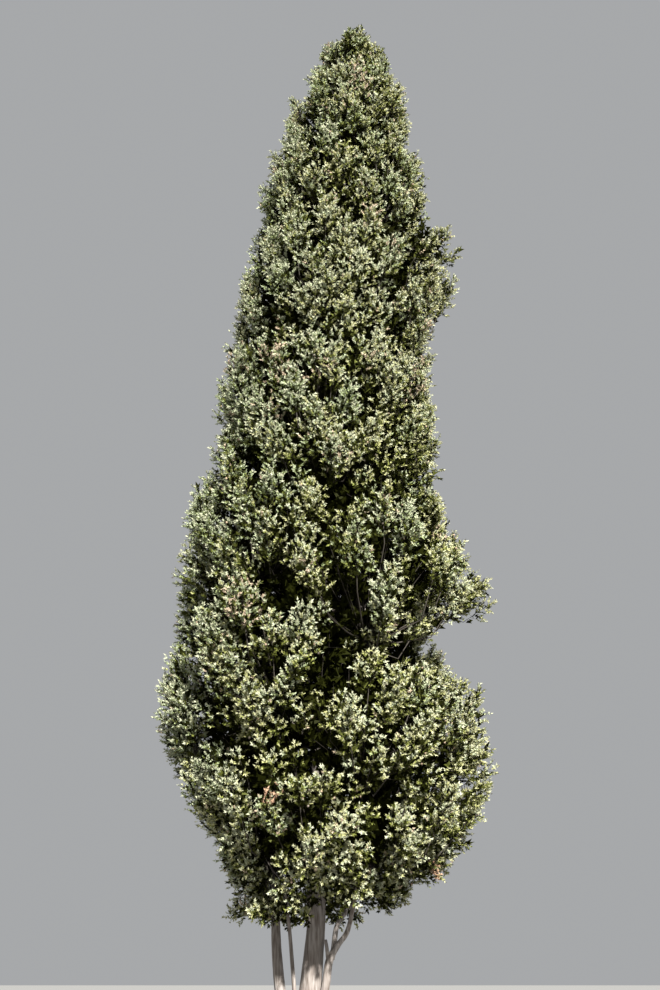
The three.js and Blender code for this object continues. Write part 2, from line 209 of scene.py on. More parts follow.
# %% Plume sites
SPACING_LEAST, SPACING_PER_RADIUS = 0.345, 0.2
SITE_MARGIN = 0.06  # from the crown's foot to the first site, and from the last to its top
LEAST_GIRTH_RADIUS = 0.42  # the spiral climbs no faster than round this radius
REACH_LEAST, REACH_RANGE = 0.95, 0.1  # where a tip lies, as a share of the crown's radius
PLUME_LENGTH = 1.45  # of the spacing of the sites
LENGTH_LEAST, LENGTH_RANGE = 0.85, 0.3  # how much that varies
LEADER_LENGTH = 0.62  # of the plume at the very top
MIDDLE_DOWN, MIDDLE_OUT = 0.4, 0.85  # shares of its length under its tip, and of the radius
CLIMB = [(2.5, -0.1), (3.3, 0.25), (5, 0.7), (18, 0.95)]  # how much a plume turns up, by height
SWAY = 0.35  # how far chance turns it aside
FITTINGS = [(1, 0), (0.9, 0.14), (0.82, 0.28), (0.7, 0.4)]  # share of its length, share of the way back


def spacing_at(height, facing):
    return SPACING_LEAST + SPACING_PER_RADIUS * crown_radius(height, facing)


def lay_out_sites(random, fineness=1.0, first_turn=0.0):
    """Rows of height, facing, reach, sway (three), length. The sites lie fineness times as far apart."""
    sites = []
    height = CROWN_FOOT + SITE_MARGIN
    while height < TREE_HEIGHT - SITE_MARGIN:
        facing = (first_turn + len(sites) * GOLDEN_ANGLE) % (2 * math.pi)
        spacing = fineness * float(spacing_at(height, facing))
        reach = REACH_LEAST + REACH_RANGE * next(random)
        sway = [next(random) - 0.5 for _ in range(3)]
        length = spacing * PLUME_LENGTH * (LENGTH_LEAST + LENGTH_RANGE * next(random))
        sites.append([height, facing, reach, *sway, length])
        height += spacing**2 / (2 * math.pi * max(float(at(height, CROWN_LINE)), LEAST_GIRTH_RADIUS))
    return sites


def place_site(site, mass, back, fan=1.0):
    """A plume's tip and direction, drawn back by a share of the way to its mass's middle.

    A plume fans out from its bough's hub, or the less it fans, the more it stands straight out of the crown.
    """
    height = site[0] + (mass["centre"][2] - site[0]) * back
    turn = math.remainder(mass["facing"] - site[1], 2 * math.pi)
    facing = site[1] + (0 if mass["alone"] else turn * back)
    tip = crown_point(height, facing, site[2])
    straight_out = outward(np.asarray(facing))
    along = fan * unit(tip - mass["hub"]) + (1 - fan) * straight_out
    along = along + UP * at(height, CLIMB) + np.array(site[3:6]) * SWAY
    return tip, unit(along)


def owner_of(point):
    return int(np.argmin(((centres - point) ** 2).sum(axis=1)))


def grow_plumes(sites, give=0.0, fan=1.0):
    """The plumes that fit their mass's space, or cross its border by no more than give.

    Each is a tip, a direction, a length and the number of the mass that owns it.
    """
    plumes = []
    for site in sites:
        owner = owner_of(crown_point(site[0] - MIDDLE_DOWN * site[6], site[1], MIDDLE_OUT))
        mass = masses[owner]
        for share, back in FITTINGS:
            tip, along = place_site(site, mass, back, fan)
            length = site[6] * share
            if keeps_in([tip, tip - along * length / 2], mass, -give):
                plumes.append((tip, along, length, owner))
                break
    return plumes


large_sites = lay_out_sites(random)
large_sites.append([TREE_HEIGHT, 0, 0, 0, 0, 0, LEADER_LENGTH])
large = grow_plumes(large_sites)
print(len(large), "large plumes on", len(large_sites), "sites")

# %% [markdown]
# ## Gaps in the coat
# Here and there two boughs part and the eye falls into the dark inside of the crown. Those that the
# photograph shows have their own places. The sides that it doesn't show get gaps of the same sizes on
# another golden-angle spiral. A noise could open them too, but then the ones in front would be in the wrong
# places.

# %% Gaps
GAPS_IN_VIEW = [  # height, facing in degrees, half the width and half the height in metres
    (11.6, -63, 0.2, 0.16), (12.3, -107, 0.16, 0.2), (11.3, -92, 0.15, 0.15), (10.3, -75, 0.18, 0.14),
    (8.0, -121, 0.2, 0.17), (8.0, -82, 0.27, 0.2), (8.0, -68, 0.2, 0.18), (7.87, -136, 0.14, 0.22),
    (7.5, -50, 0.2, 0.32), (7.2, -110, 0.16, 0.26), (7.1, -64, 0.17, 0.28), (6.95, -141, 0.17, 0.26),
    (6.75, -88, 0.25, 0.33), (6.64, -45, 0.25, 0.2), (6.6, -101, 0.17, 0.26), (6.34, -79, 0.22, 0.36),
    (5.95, -124, 0.22, 0.15), (5.65, -84, 0.28, 0.28), (5.6, -53, 0.18, 0.3), (5.63, -103, 0.18, 0.24),
    (5.44, -109, 0.17, 0.2), (5.1, -96, 0.18, 0.26), (5.15, -72, 0.22, 0.2), (4.74, -140, 0.25, 0.16),
    (4.5, -87, 0.15, 0.17), (4.42, -60, 0.14, 0.24), (4.29, -129, 0.17, 0.15), (4.19, -52, 0.16, 0.28),
    (4.12, -70, 0.18, 0.28), (3.89, -117, 0.26, 0.32), (3.88, -96, 0.15, 0.28), (3.78, -59, 0.33, 0.33),
    (3.53, -94, 0.3, 0.26), (3.52, -20, 0.2, 0.2), (3.28, -100, 0.16, 0.28), (3.12, -115, 0.3, 0.3),
]
VIEW_RANGE = (-150, -30)  # the facings in degrees that the photograph shows
GAPS_AROUND = 62
GAP_HEIGHTS = (3.2, 12.5)
GAPS_LOW = 1.3  # over 1 brings more of them to the foot
GAP_HALF_WIDTHS, GAP_HALF_HEIGHTS = (0.15, 0.28), (0.16, 0.33)
GAP_EDGE = (0.6, 1.2)  # where it starts to close and where it has, in half sizes
TUFTS_GONE, FINE_GONE = 0.75, 0.9  # in the middle of a gap
# GAP_SHADE is painted shade: it darkens the sprays left in a gap.
GAP_SHADE = 0.3  # how much darker its middle is

gap_random = np.random.default_rng(SEED + 3)
gaps = list(GAPS_IN_VIEW)
for number in range(GAPS_AROUND):
    turn = math.degrees(number * GOLDEN_ANGLE) % 360 - 180
    height = GAP_HEIGHTS[0] + (GAP_HEIGHTS[1] - GAP_HEIGHTS[0]) * ((number + 0.5) / GAPS_AROUND) ** GAPS_LOW
    half_width = gap_random.uniform(*GAP_HALF_WIDTHS)
    half_height = gap_random.uniform(*GAP_HALF_HEIGHTS)
    if not VIEW_RANGE[0] < turn < VIEW_RANGE[1]:
        gaps.append((height, turn, half_width, half_height))


def smooth_step(value, low, high):
    t = np.clip((value - low) / (high - low), 0, 1)
    return t * t * (3 - 2 * t)


def gap_share(points):
    """For each point, 1 in the middle of a gap, 0 outside all of them."""
    away = points - trunk_middle(points[:, 2])
    facing = np.arctan2(away[:, 1], away[:, 0])
    share = np.zeros(len(points))
    for height, turn, half_width, half_height in gaps:
        aside = np.abs((facing - math.radians(turn) + math.pi) % (2 * math.pi) - math.pi)
        aside = aside * crown_radius(points[:, 2], facing) / half_width
        distance = np.hypot(aside, (points[:, 2] - height) / half_height)
        share = np.maximum(share, 1 - smooth_step(distance, *GAP_EDGE))
    return share


print(len(gaps), "gaps, of which", len(GAPS_IN_VIEW), "in view")

# %% [markdown]
# ## Finer plumes
# Under the large plumes the real crown is closed by hundreds of smaller ones. They grow by the same rule on
# closer sites. Each is drawn back by its distance to the nearest large plume, so that the surface swells
# round a large plume and falls away between two, and few are left inside a gap. Making the large plumes
# thicker would close the crown too, but with one coarse grain.

# %% Finer plumes
FINE = 0.44  # spacing, as a share of that of the large plumes
FINE_TURN = 1.0  # where their spiral starts, in radians
FINE_REACH = 0.97  # of the large plumes' reach
FINE_GIVE = 0.7  # how far it may cross the border of its mass's space
FINE_FAN = 0.3  # how much it fans out from its bough's hub
COAT = 0.93  # where the coat of sprays is thickest, as a share of the crown's radius
BELLY_DOWN = 0.3  # how far under its site a fine plume has its belly, as a share of its length
BELLY_SHARE = 0.45  # the same, from the tip of a plume along it
CLEFT_DEPTH = 0.13  # in metres
CLEFT_RANGE = (0.3, 0.62)  # as shares of the spacing of the large plumes
# CLEFT_SHADE is painted shade: it darkens the sprays in a cleft.
CLEFT_SHADE = 0.1  # how much darker its middle is
CLEFT_GAPS = 0.3  # of the fine plumes are missing in the middle of a cleft
CLUMP_STRAY = 0.06  # in metres, as are the next two
FINE_STRAY = 0.08
STRAY_LIMIT = 0.08

large_bellies = np.array([tip - along * length * BELLY_SHARE for tip, along, length, _ in large])
rng = np.random.default_rng(SEED)
clump_stray = rng.normal(0, CLUMP_STRAY, len(large))
fine_sites = []
for site in lay_out_sites(seeded(SEED + 1), FINE, FINE_TURN):
    radius = float(crown_radius(site[0], site[1]))
    belly = crown_point(site[0] - BELLY_DOWN * site[6], site[1], COAT)
    distances = np.linalg.norm(large_bellies - belly, axis=1)
    nearest = int(np.argmin(distances))
    cleft = float(smooth_step(distances[nearest] / spacing_at(site[0], site[1]), *CLEFT_RANGE))
    stray = min(STRAY_LIMIT, clump_stray[nearest] + rng.normal(0, FINE_STRAY))
    site[2] = site[2] * FINE_REACH + (stray - CLEFT_DEPTH * cleft) / radius
    if rng.random() > max(CLEFT_GAPS * cleft, FINE_GONE * gap_share(belly[None])[0]):
        fine_sites.append(site)
fine = grow_plumes(fine_sites, FINE_GIVE, FINE_FAN)
print(len(fine), "fine plumes")

# %% [markdown]
# ## The fringe
# The lowest boughs droop, and their shaded ends hang in front of the stems, so that the crown has a ragged
# foot in place of a flat one. These few dozen plumes are set by a rule of their own, because the crown's
# rule ends at its foot. Over the limb on the right they end higher, and the limb stays in view.

# %% Fringe
FRINGE = 90
FRINGE_HEIGHTS = (2.3, 2.6)
FRINGE_SHARE = (0.25, 0.95)  # of the crown foot's radius
FRINGE_LENGTH = (0.26, 0.4)
FRINGE_OUT = 0.8  # how far out it points, and in the next two, how far down and aside
FRINGE_DROOP = (0.1, 0.7)
FRINGE_STRAY = 0.25
FRINGE_ROOT = 2.7  # the height where the crown foot's radius is measured
OPEN_SIDE = math.radians(-25)  # where the limb shows
OPEN_LIFT = 0.3  # how much higher the fringe ends there

fringe = []
for number in range(FRINGE):
    facing = number * GOLDEN_ANGLE
    share = FRINGE_SHARE[0] + (FRINGE_SHARE[1] - FRINGE_SHARE[0]) * math.sqrt(rng.random())
    height = rng.uniform(*FRINGE_HEIGHTS) + OPEN_LIFT * max(0, math.cos(facing - OPEN_SIDE)) ** 2
    out = outward(np.asarray(facing))
    tip = trunk_middle(height) + out * (at(FRINGE_ROOT, CROWN_LINE) * share)
    along = unit(out * FRINGE_OUT - UP * rng.uniform(*FRINGE_DROOP) + rng.normal(0, FRINGE_STRAY, 3))
    fringe.append((tip, along, rng.uniform(*FRINGE_LENGTH), owner_of(tip + UP)))
fine += fringe
print(len(fringe), "plumes in the fringe")

# %% [markdown]
# ## Deep plumes
# Inside the coat the real foliage is old and starved of light. It is hardly seen, but it keeps the sky from
# showing through. Two inner shells of sites do this here, and their sprays are near black with painted
# shade. A solid dark core would be cheaper, but a gap would show its skin.

# %% Deep plumes
DEEP_SHELLS = [(0.55, 0.7), (0.75, 0.45)]  # how fine the sites lie, and at which share of the radius
DEEP_TURN = 2.0  # where their first spiral starts, in radians
DEEP_HEIGHTS = (3.2, 16.9)

deep_sites = []
for number, (fineness, share) in enumerate(DEEP_SHELLS):
    for site in lay_out_sites(seeded(SEED + 2 + number), fineness, DEEP_TURN + number):
        site[2] *= share
        if DEEP_HEIGHTS[0] < site[0] < DEEP_HEIGHTS[1]:
            deep_sites.append(site)
deep = grow_plumes(deep_sites, FINE_GIVE, FINE_FAN)
print(len(deep), "deep plumes")

# %% [markdown]
# ## Plumes as arrays
# A hundred thousand sprays are too many to handle one by one, so from here on each kind of thing is a set
# of arrays: one row for each plume, then one for each side twig, then one for each spray. numpy works on
# whole arrays at once.

# %% Plume arrays
TIP_ROOM = 0.08  # a plume ends this far short, because its last spray stands out of it
NEARLY_UPRIGHT = 0.9  # from here on, up is too close to a direction to cross with it


def across(directions):
    """Two unit vectors across each direction."""
    helper = np.where(np.abs(directions[:, 2:3]) < NEARLY_UPRIGHT, UP, np.array([1.0, 0, 0]))
    first = unit(np.cross(helper, directions))
    return first, np.cross(directions, first)


def around(directions, turns):
    """Unit vectors across the directions, turned round them."""
    first, second = across(directions)
    return first * np.cos(turns)[:, None] + second * np.sin(turns)[:, None]


def dealt_out(counts):
    """Rows for many small things: for each, the row of what carries it, and its number there."""
    carrier = np.repeat(np.arange(len(counts)), counts)
    return carrier, np.arange(len(carrier)) - np.repeat(np.cumsum(counts) - counts, counts)


def part_way(start, along, length, share, rows):
    """Points at a share of the way along the given rows."""
    return start[rows] + along[rows] * (length[rows] * share)[:, None]


def arrays_of(plumes):
    """Tips, directions, lengths and owners of a list of plumes."""
    tips, directions, lengths, owners = (np.array(column) for column in zip(*plumes))
    return tips - directions * TIP_ROOM, directions, lengths, owners


large_tip, large_along, large_length, large_owner = arrays_of(large)
large_neck = large_tip - large_along * large_length[:, None]
print("large plumes are", round(float(large_length.mean()), 2), "m long on average")

# %% [markdown]
# ## Tufts on the large plumes
# A large plume of the real tree is a branchlet with a row of stubby tufts, which stand round it at the
# golden angle and turn up with it. One long feather would be less work, but the crown would look combed.

# %% Tufts
TUFTS_LEAST, TUFTS_PER_METRE = 1.5, 5.6
TUFT_LENGTH = (0.27, 0.42)
TUFT_GROWTH = (0.7, 1.1)  # how its plume's length makes it shorter or longer
TUFT_FIRST = 0.2  # share of its plume's length
TUFT_STRAY, TUFT_CROWDING = 0.3, 0.7
TUFT_SPREAD, TUFT_STRAIGHT = 0.5, 1.15  # the lean of the first, and the share where one would have none
TUFT_RISE = 0.25
TUFT_BELLY = 0.6  # where it is widest, as a share of its length

counts = np.round(TUFTS_LEAST + TUFTS_PER_METRE * large_length).astype(int)
tuft_plume, tuft_order = dealt_out(counts)
tuft_length = rng.uniform(*TUFT_LENGTH, len(tuft_plume)) * np.clip(large_length[tuft_plume], *TUFT_GROWTH)
tuft_share = tuft_order + TUFT_STRAY * rng.random(len(tuft_plume))
tuft_share = tuft_share / (counts[tuft_plume] - TUFT_CROWDING)
tuft_last = 1 - tuft_length / large_length[tuft_plume]
tuft_share = TUFT_FIRST + np.minimum(tuft_share, 1) * (tuft_last - TUFT_FIRST)
tuft_foot = part_way(large_neck, large_along, large_length, tuft_share, tuft_plume)
tuft_turn = tuft_order * GOLDEN_ANGLE + (rng.random(len(large)) * 2 * math.pi)[tuft_plume]
lean = TUFT_SPREAD * (TUFT_STRAIGHT - tuft_share) / (TUFT_STRAIGHT - TUFT_FIRST)
tuft_along = around(large_along[tuft_plume], tuft_turn) * lean[:, None] + large_along[tuft_plume]
tuft_along = unit(tuft_along + UP * TUFT_RISE)
tuft_belly = tuft_foot + tuft_along * tuft_length[:, None] * TUFT_BELLY
remains = rng.random(len(tuft_plume)) > TUFTS_GONE * gap_share(tuft_belly)
tuft_plume, tuft_foot = tuft_plume[remains], tuft_foot[remains]
tuft_along, tuft_length = tuft_along[remains], tuft_length[remains]
print(len(tuft_plume), "tufts on the large plumes")

# %% [markdown]
# ## One list of plumes
# Tufts, fine plumes and deep ones carry twigs in the same way, so they go into one set of arrays with a
# column for their kind. Whatever differs by kind, such as the width, is looked up by that column, which
# saves three loops.

# %% Tufts and finer plumes together
TUFT, SMALL, INNER = 0, 1, 2
WIDTH_SHARE = np.array([0.3, 0.25, 0.3])
OUT_RISE = 0.05

fine_rows, deep_rows = arrays_of(fine), arrays_of(deep)
plume_tip = np.vstack([tuft_foot + tuft_along * tuft_length[:, None], fine_rows[0], deep_rows[0]])
plume_along = np.vstack([tuft_along, fine_rows[1], deep_rows[1]])
plume_length = np.concatenate([tuft_length, fine_rows[2], deep_rows[2]])
plume_owner = np.concatenate([large_owner[tuft_plume], fine_rows[3], deep_rows[3]])
plume_kind = np.repeat([TUFT, SMALL, INNER], [len(tuft_plume), len(fine), len(deep)])
plume_width = plume_length * WIDTH_SHARE[plume_kind]
plume_neck = plume_tip - plume_along * plume_length[:, None]
plume_out = plume_tip - trunk_middle(plume_tip[:, 2])
plume_out[:, 2] = OUT_RISE
plume_out = unit(plume_out)
print(len(plume_tip), "plumes,", round(float(plume_length.sum()), 1), "m of them in all")

# %% [markdown]
# ## Side twigs
# Along a plume the side twigs stand round it at the golden angle, longest at its belly, and slope up with
# it. Most of those that turn to the trunk are left out, because a dense crown hides them and they would
# cost a third of the count.

# %% Side twigs
TWIGS_LEAST = np.array([4, 4, 3])
TWIGS_PER_METRE = np.array([18, 16, 7])
TWIG_SLOPE = 0.85  # how far it leans along its plume
SLOPE_AT_NECK, SLOPE_GAIN = 0.6, 0.8  # less at the neck, more towards the tip
TWIG_RISE = 0.15
FIRST_TWIG = np.array([0.12, 0.2, 0.1])  # share of its plume's length
HIDDEN_SIDE = -0.3  # how far a twig turns to the trunk before it is one that nobody sees
HIDDEN_KEPT = 0.25
TWIG_LENGTH = 1.3  # of its plume's width
TWIG_LENGTHS = (0.75, 1.2)  # how much that varies
SHORTEST_TWIG = 0.02
PROFILE_START, PROFILE_SKEW, PROFILE_FULLNESS = 0.12, 0.9, 0.6  # how an arch of sine is drawn out


def profile(share):
    """How wide a plume is, from its neck to its tip, as a share of its greatest width."""
    along = np.clip(PROFILE_START + (1 - PROFILE_START) * share, 0, 1)
    return np.sin(math.pi * along**PROFILE_SKEW) ** PROFILE_FULLNESS


counts = np.round(TWIGS_LEAST[plume_kind] + TWIGS_PER_METRE[plume_kind] * plume_length).astype(int)
twig_plume, twig_order = dealt_out(counts)
twig_share = (twig_order + rng.random(len(twig_plume))) / counts[twig_plume]
first_share = FIRST_TWIG[plume_kind[twig_plume]]
twig_share = first_share + (1 - first_share) * twig_share
twig_turn = twig_order * GOLDEN_ANGLE + (rng.random(len(plume_tip)) * 2 * math.pi)[twig_plume]
radial = around(plume_along[twig_plume], twig_turn)
facing_out = (radial * plume_out[twig_plume]).sum(axis=1)
kept = (facing_out > HIDDEN_SIDE) | (rng.random(len(twig_plume)) < HIDDEN_KEPT)
twig_plume, twig_share, radial = twig_plume[kept], twig_share[kept], radial[kept]

twig_foot = part_way(plume_neck, plume_along, plume_length, twig_share, twig_plume)
twig_slope = TWIG_SLOPE * (SLOPE_AT_NECK + SLOPE_GAIN * twig_share)
twig_along = unit(radial + plume_along[twig_plume] * twig_slope[:, None] + UP * TWIG_RISE)
twig_length = plume_width[twig_plume] * TWIG_LENGTH * profile(twig_share)
twig_length = twig_length * rng.uniform(*TWIG_LENGTHS, len(twig_plume)) + SHORTEST_TWIG
print(len(twig_plume), "side twigs,", int((~kept).sum()), "left out where they would be hidden")

# %% [markdown]
# ## Sprays
# Every side twig carries sprays, closest together at its end. A spray of a real cypress is a bunch of green
# cords a millimetre thick. From the ground only the bunch is seen, as a bright curl with the dark beside
# it, so a spray here has a few broad cords in place of many fine ones. Deep inside, where it only has to be
# dark, the sprays are larger, but they shrink with the crown towards its tip and its foot, so that none
# sticks out.

# %% Sprays
SPRAY_SIZE = np.array([0.08, 0.08, 0.2])
SPRAY_SIZES = (0.8, 1.25)  # how much that varies
SPRAYS_PER_METRE = np.array([19, 19, 9])
SPRAYS_LEAST, SPRAYS_RANGE = 0.55, 0.9
SPRAY_STRAY = 0.42
SPRAY_RISE = 0.12
SPRAY_RANGE = 0.75  # share of its twig that bears sprays
FULL_INNER_RADIUS = 1.7  # of the crown, from which the inner sprays have their full size
LEAST_INNER = 0.4  # of that size

counts = SPRAYS_LEAST + SPRAYS_PER_METRE[plume_kind[twig_plume]] * twig_length
counts = np.round(counts + rng.random(len(twig_plume)) * SPRAYS_RANGE).astype(int)
spray_twig, spray_order = dealt_out(counts)
spray_share = 1 - (spray_order + 0.5 * rng.random(len(spray_twig))) / counts[spray_twig] * SPRAY_RANGE
spray_plume = twig_plume[spray_twig]
spray_foot = part_way(twig_foot, twig_along, twig_length, spray_share, spray_twig)
spread = rng.normal(0, SPRAY_STRAY, (len(spray_twig), 3))
spray_along = unit(twig_along[spray_twig] + spread + UP * SPRAY_RISE)
spray_kind = plume_kind[spray_plume]
spray_inner = spray_kind == INNER
spray_size = SPRAY_SIZE[spray_kind] * rng.uniform(*SPRAY_SIZES, len(spray_twig))
room = np.clip(at(spray_foot[:, 2], CROWN_LINE) / FULL_INNER_RADIUS, LEAST_INNER, 1)
spray_size = spray_size * np.where(spray_inner, room, 1)
for number, name in enumerate(("tufts", "fine plumes", "deep plumes")):
    print(name, "carry", int((spray_kind == number).sum()), "sprays")

# %% [markdown]
# ## Shades of foliage
# In sunlight the tips of a cypress are a pale yellow olive, the older foliage behind them a deep green, and
# here and there a spray is dry and tan, or a whole twig has died and turned rust red. The greens also carry
# painted light and shade, from pale painted light on the outer tips to near-black painted shade inside. A
# pattern could paint this, but a colour that belongs to a place is surer as a plain colour per spray, so
# each shade gets a material of its own.

# %% Shades
# The greens run from painted shade to painted light: leaf_shade's near black stands for deep shade, and the
# pale greyish shades for sunlit tips with their sheen.
SHADES = {  # linear base colours
    "leaf_shade": (0.011, 0.0125, 0.002),
    "leaf_deep": (0.056, 0.063, 0.012),
    "leaf_green": (0.16, 0.178, 0.042),
    "leaf_cool": (0.225, 0.266, 0.125),
    "leaf_olive": (0.318, 0.32, 0.142),
    "leaf_silver": (0.315, 0.352, 0.225),
    "leaf_bright": (0.372, 0.37, 0.225),
    "leaf_pale": (0.408, 0.418, 0.29),
    "leaf_tan": (0.4, 0.32, 0.23),
    "leaf_rust": (0.36, 0.23, 0.15),
}
shade_names = list(SHADES)
# A spray's old cords get the next darker shade: older growth, and painted shade close to its stem.
OLDER_AND_SHADED = {
    "leaf_deep": "leaf_shade", "leaf_green": "leaf_deep", "leaf_cool": "leaf_green",
    "leaf_olive": "leaf_green", "leaf_silver": "leaf_cool", "leaf_bright": "leaf_olive",
    "leaf_pale": "leaf_silver",
}
DARKER = np.array([shade_names.index(OLDER_AND_SHADED.get(name, name)) for name in shade_names])
LEAF_ROUGHNESS = 0.55
LEAF_GLOSS, SHADE_GLOSS = 0.08, 0.02


def plain_material(name, colour, roughness, gloss=0.5):
    material = bpy.data.materials.new(name)
    material.use_nodes = True
    shader = material.node_tree.nodes["Principled BSDF"]
    shader.inputs["Base Color"].default_value = (*colour, 1)
    shader.inputs["Roughness"].default_value = roughness
    shader.inputs["Specular IOR Level"].default_value = gloss
    return material


leaf_materials = [
    plain_material(name, colour, LEAF_ROUGHNESS, SHADE_GLOSS if name == "leaf_shade" else LEAF_GLOSS)
    for name, colour in SHADES.items()
]
print(len(leaf_materials), "shades of foliage")

# %% [markdown]
# ## Light and warmth
# Which shade a spray gets follows from two scores. The light-or-dark one paints light and shade into the
# colour: a spray is lighter the further out it sits, on its twig, its plume and the crown, and on the upper
# side of its plume, darker in a cleft or a gap, and lighter or darker by its height and its side, as the
# light falls. Its clump, its height and its side of the tree make it warm or cool. Rules alone would look
# painted, so chance adds to both, by plume and by clump before by spray, because neighbours on a real tree
# are alike.

# %% Light and warmth
# What makes a spray lighter or darker: painted light and shade, and chance.
REACH_LIGHT, REACH_MIDDLE = 0.8, 0.6
END_LIGHT, TIP_LIGHT, TOP_LIGHT, LEFT_LIGHT = 0.45, 0.6, 0.3, 0.07
PLUME_LIGHT, CLUMP_LIGHT, SPRAY_LIGHT = 0.14, 0.11, 0.25  # by chance, as is the warmth
PLUME_WARMTH, CLUMP_WARMTH, SPRAY_WARMTH = 0.22, 0.25, 0.12
RIGHT_WARMTH = 0.22
# Painted light and shade by height, darkest at the foot in the shade under the crown.
LIGHT_LINE = [  # by height
    (2.5, -0.06), (2.9, 0.07), (3.5, 0.17), (5, 0.12), (7, 0.06), (9, 0.1), (12, 0.17), (15, 0.09),
    (17, 0.03),
]
WARMTH_LINE = [
    (2.6, 0.9), (3.6, 0.65), (5, 0.38), (7.5, 0.12), (9.5, -0.05), (11.5, 0.2), (13.5, 0.15), (15, 0),
    (17, -0.15),
]

away = spray_foot - trunk_middle(spray_foot[:, 2])
away[:, 2] = 0
facing = np.arctan2(away[:, 1], away[:, 0])
reach = np.linalg.norm(away, axis=1) / crown_radius(spray_foot[:, 2], facing)
plume_light = rng.normal(0, PLUME_LIGHT, len(plume_tip))
plume_warmth = rng.normal(0, PLUME_WARMTH, len(plume_tip))
plume_belly = plume_tip - plume_along * (plume_length * BELLY_SHARE)[:, None]
to_large = np.sqrt(((plume_belly[:, None, :] - large_bellies[None, :, :]) ** 2).sum(axis=2))
nearest_large = np.argmin(to_large, axis=1)
plume_facing = np.arctan2(plume_out[:, 1], plume_out[:, 0])
openness = to_large.min(axis=1) / spacing_at(plume_belly[:, 2], plume_facing)
# Painted shade: a plume in a cleft between two large ones is darker.
plume_light = plume_light - CLEFT_SHADE * smooth_step(openness, *CLEFT_RANGE)
clump_light = rng.normal(0, CLUMP_LIGHT, len(large))[nearest_large]
clump_warmth = rng.normal(0, CLUMP_WARMTH, len(large))[nearest_large]

# Painted light and shade: lighter further out and on top, darker in gaps, by height and side; the chance
# terms are the foliage's own varying tone.
light = (
    REACH_LIGHT * (reach - REACH_MIDDLE)  # further out of the crown
    + END_LIGHT * (spray_share - 0.5)  # nearer the end of its twig
    + TIP_LIGHT * (twig_share[spray_twig] - 0.5)  # nearer the tip of its plume
    + TOP_LIGHT * radial[spray_twig, 2]  # on the upper side of its plume
    + (plume_light + clump_light)[spray_plume]
    - GAP_SHADE * gap_share(spray_foot)
    - LEFT_LIGHT * spray_foot[:, 0]
    + at(spray_foot[:, 2], LIGHT_LINE)
    + rng.normal(0, SPRAY_LIGHT, len(spray_twig))
)
warmth = (
    (plume_warmth + clump_warmth)[spray_plume]
    + RIGHT_WARMTH * spray_foot[:, 0]
    + at(spray_foot[:, 2], WARMTH_LINE)
    + rng.normal(0, SPRAY_WARMTH, len(spray_twig))
)
print("light", round(float(light.mean()), 2), "and warmth", round(float(warmth.mean()), 2), "on average")

# %% [markdown]
# ## Shades dealt out
# The scores pick the shade. Then a few sprays turn dry and tan, more of them on some plumes than on others,
# and where a twig has died in the photograph, most sprays round it turn rust red. Painting these by hand
# would be as good, but a rule gives the same tree every time.

# %% Shades dealt out
# From a light-or-dark score on, the shade of a cool spray and that of a warm one.
LIGHT_STEPS = [
    (-0.26, "leaf_deep", "leaf_deep"), (-0.16, "leaf_green", "leaf_green"),
    (-0.05, "leaf_cool", "leaf_olive"), (0.16, "leaf_silver", "leaf_bright"),
    (0.54, "leaf_pale", "leaf_pale"),
]
WARM_FROM = 0.1
DRY_PLUMES, DRY_CLUMPS = 0.03, 0.05  # shares that have dry sprays among their green ones
DRY_THERE, DRY_ELSEWHERE = 0.4, 0.012  # shares of the sprays
DRY_LIGHT = 0.1  # darker ones stay green
RUST_PATCHES = [(3.77, -107, 0.17), (3.28, -113, 0.13), (2.96, -18, 0.14)]  # height, facing, radius
RUST_EDGE = (0.6, 1.1)
RUST_SHARE = 0.8


def dealt():
    """Index into the shades for each spray."""
    shade = np.full(len(light), shade_names.index("leaf_shade"))
    for step, cool, warm in LIGHT_STEPS:
        shade[(light > step) & (warmth <= WARM_FROM)] = shade_names.index(cool)
        shade[(light > step) & (warmth > WARM_FROM)] = shade_names.index(warm)
    # The deep sprays all get near-black painted shade.
    shade[spray_inner] = shade_names.index("leaf_shade")
    dry_plume = rng.random(len(plume_tip)) < DRY_PLUMES
    dry_plume |= (rng.random(len(large)) < DRY_CLUMPS)[nearest_large]
    dry_spray = rng.random(len(light)) < np.where(dry_plume[spray_plume], DRY_THERE, DRY_ELSEWHERE)
    shade[dry_spray & (light > DRY_LIGHT) & ~spray_inner] = shade_names.index("leaf_tan")
    for height, turn, radius in RUST_PATCHES:
        place = crown_point(height, math.radians(turn), COAT)
        near = np.linalg.norm(spray_foot - place, axis=1) < radius * rng.uniform(*RUST_EDGE, len(light))
        shade[near & (rng.random(len(light)) < RUST_SHARE)] = shade_names.index("leaf_rust")
    return shade


spray_shade = dealt()
for i, name in enumerate(shade_names):
    print(name, int((spray_shade == i).sum()))

# %% [markdown]
# ## From arrays to meshes
# All the sprays of a tier, or all its twigs, are joined into one mesh, written straight from the arrays.
# Operators have nothing to shape on a single face, and half a million small objects would be far too slow.

# %% Pieces from arrays
def placed(name, mesh):
    thing = bpy.data.objects.new(name, mesh)
    bpy.context.scene.collection.objects.link(thing)
    return thing


def mesh_piece(name, points, triangles, slot, materials, shades=None):
    """A piece made from arrays of points and triangles. It rides on the tree's one body."""
    mesh = bpy.data.meshes.new(name)
    mesh.vertices.add(len(points))
    mesh.vertices.foreach_set("co", np.asarray(points, np.float32).ravel())
    mesh.loops.add(3 * len(triangles))
    mesh.loops.foreach_set("vertex_index", np.asarray(triangles, np.int32).ravel())
    mesh.polygons.add(len(triangles))
    mesh.polygons.foreach_set("loop_start", np.arange(0, 3 * len(triangles), 3, dtype=np.int32))
    for material in materials:
        mesh.materials.append(material)
    if shades is not None:
        mesh.polygons.foreach_set("material_index", np.asarray(shades, np.int32))
    mesh.update(calc_edges=True)
    piece = placed(name, mesh)
    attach(piece, "root")
    print(name, len(triangles), "triangles")
    return piece


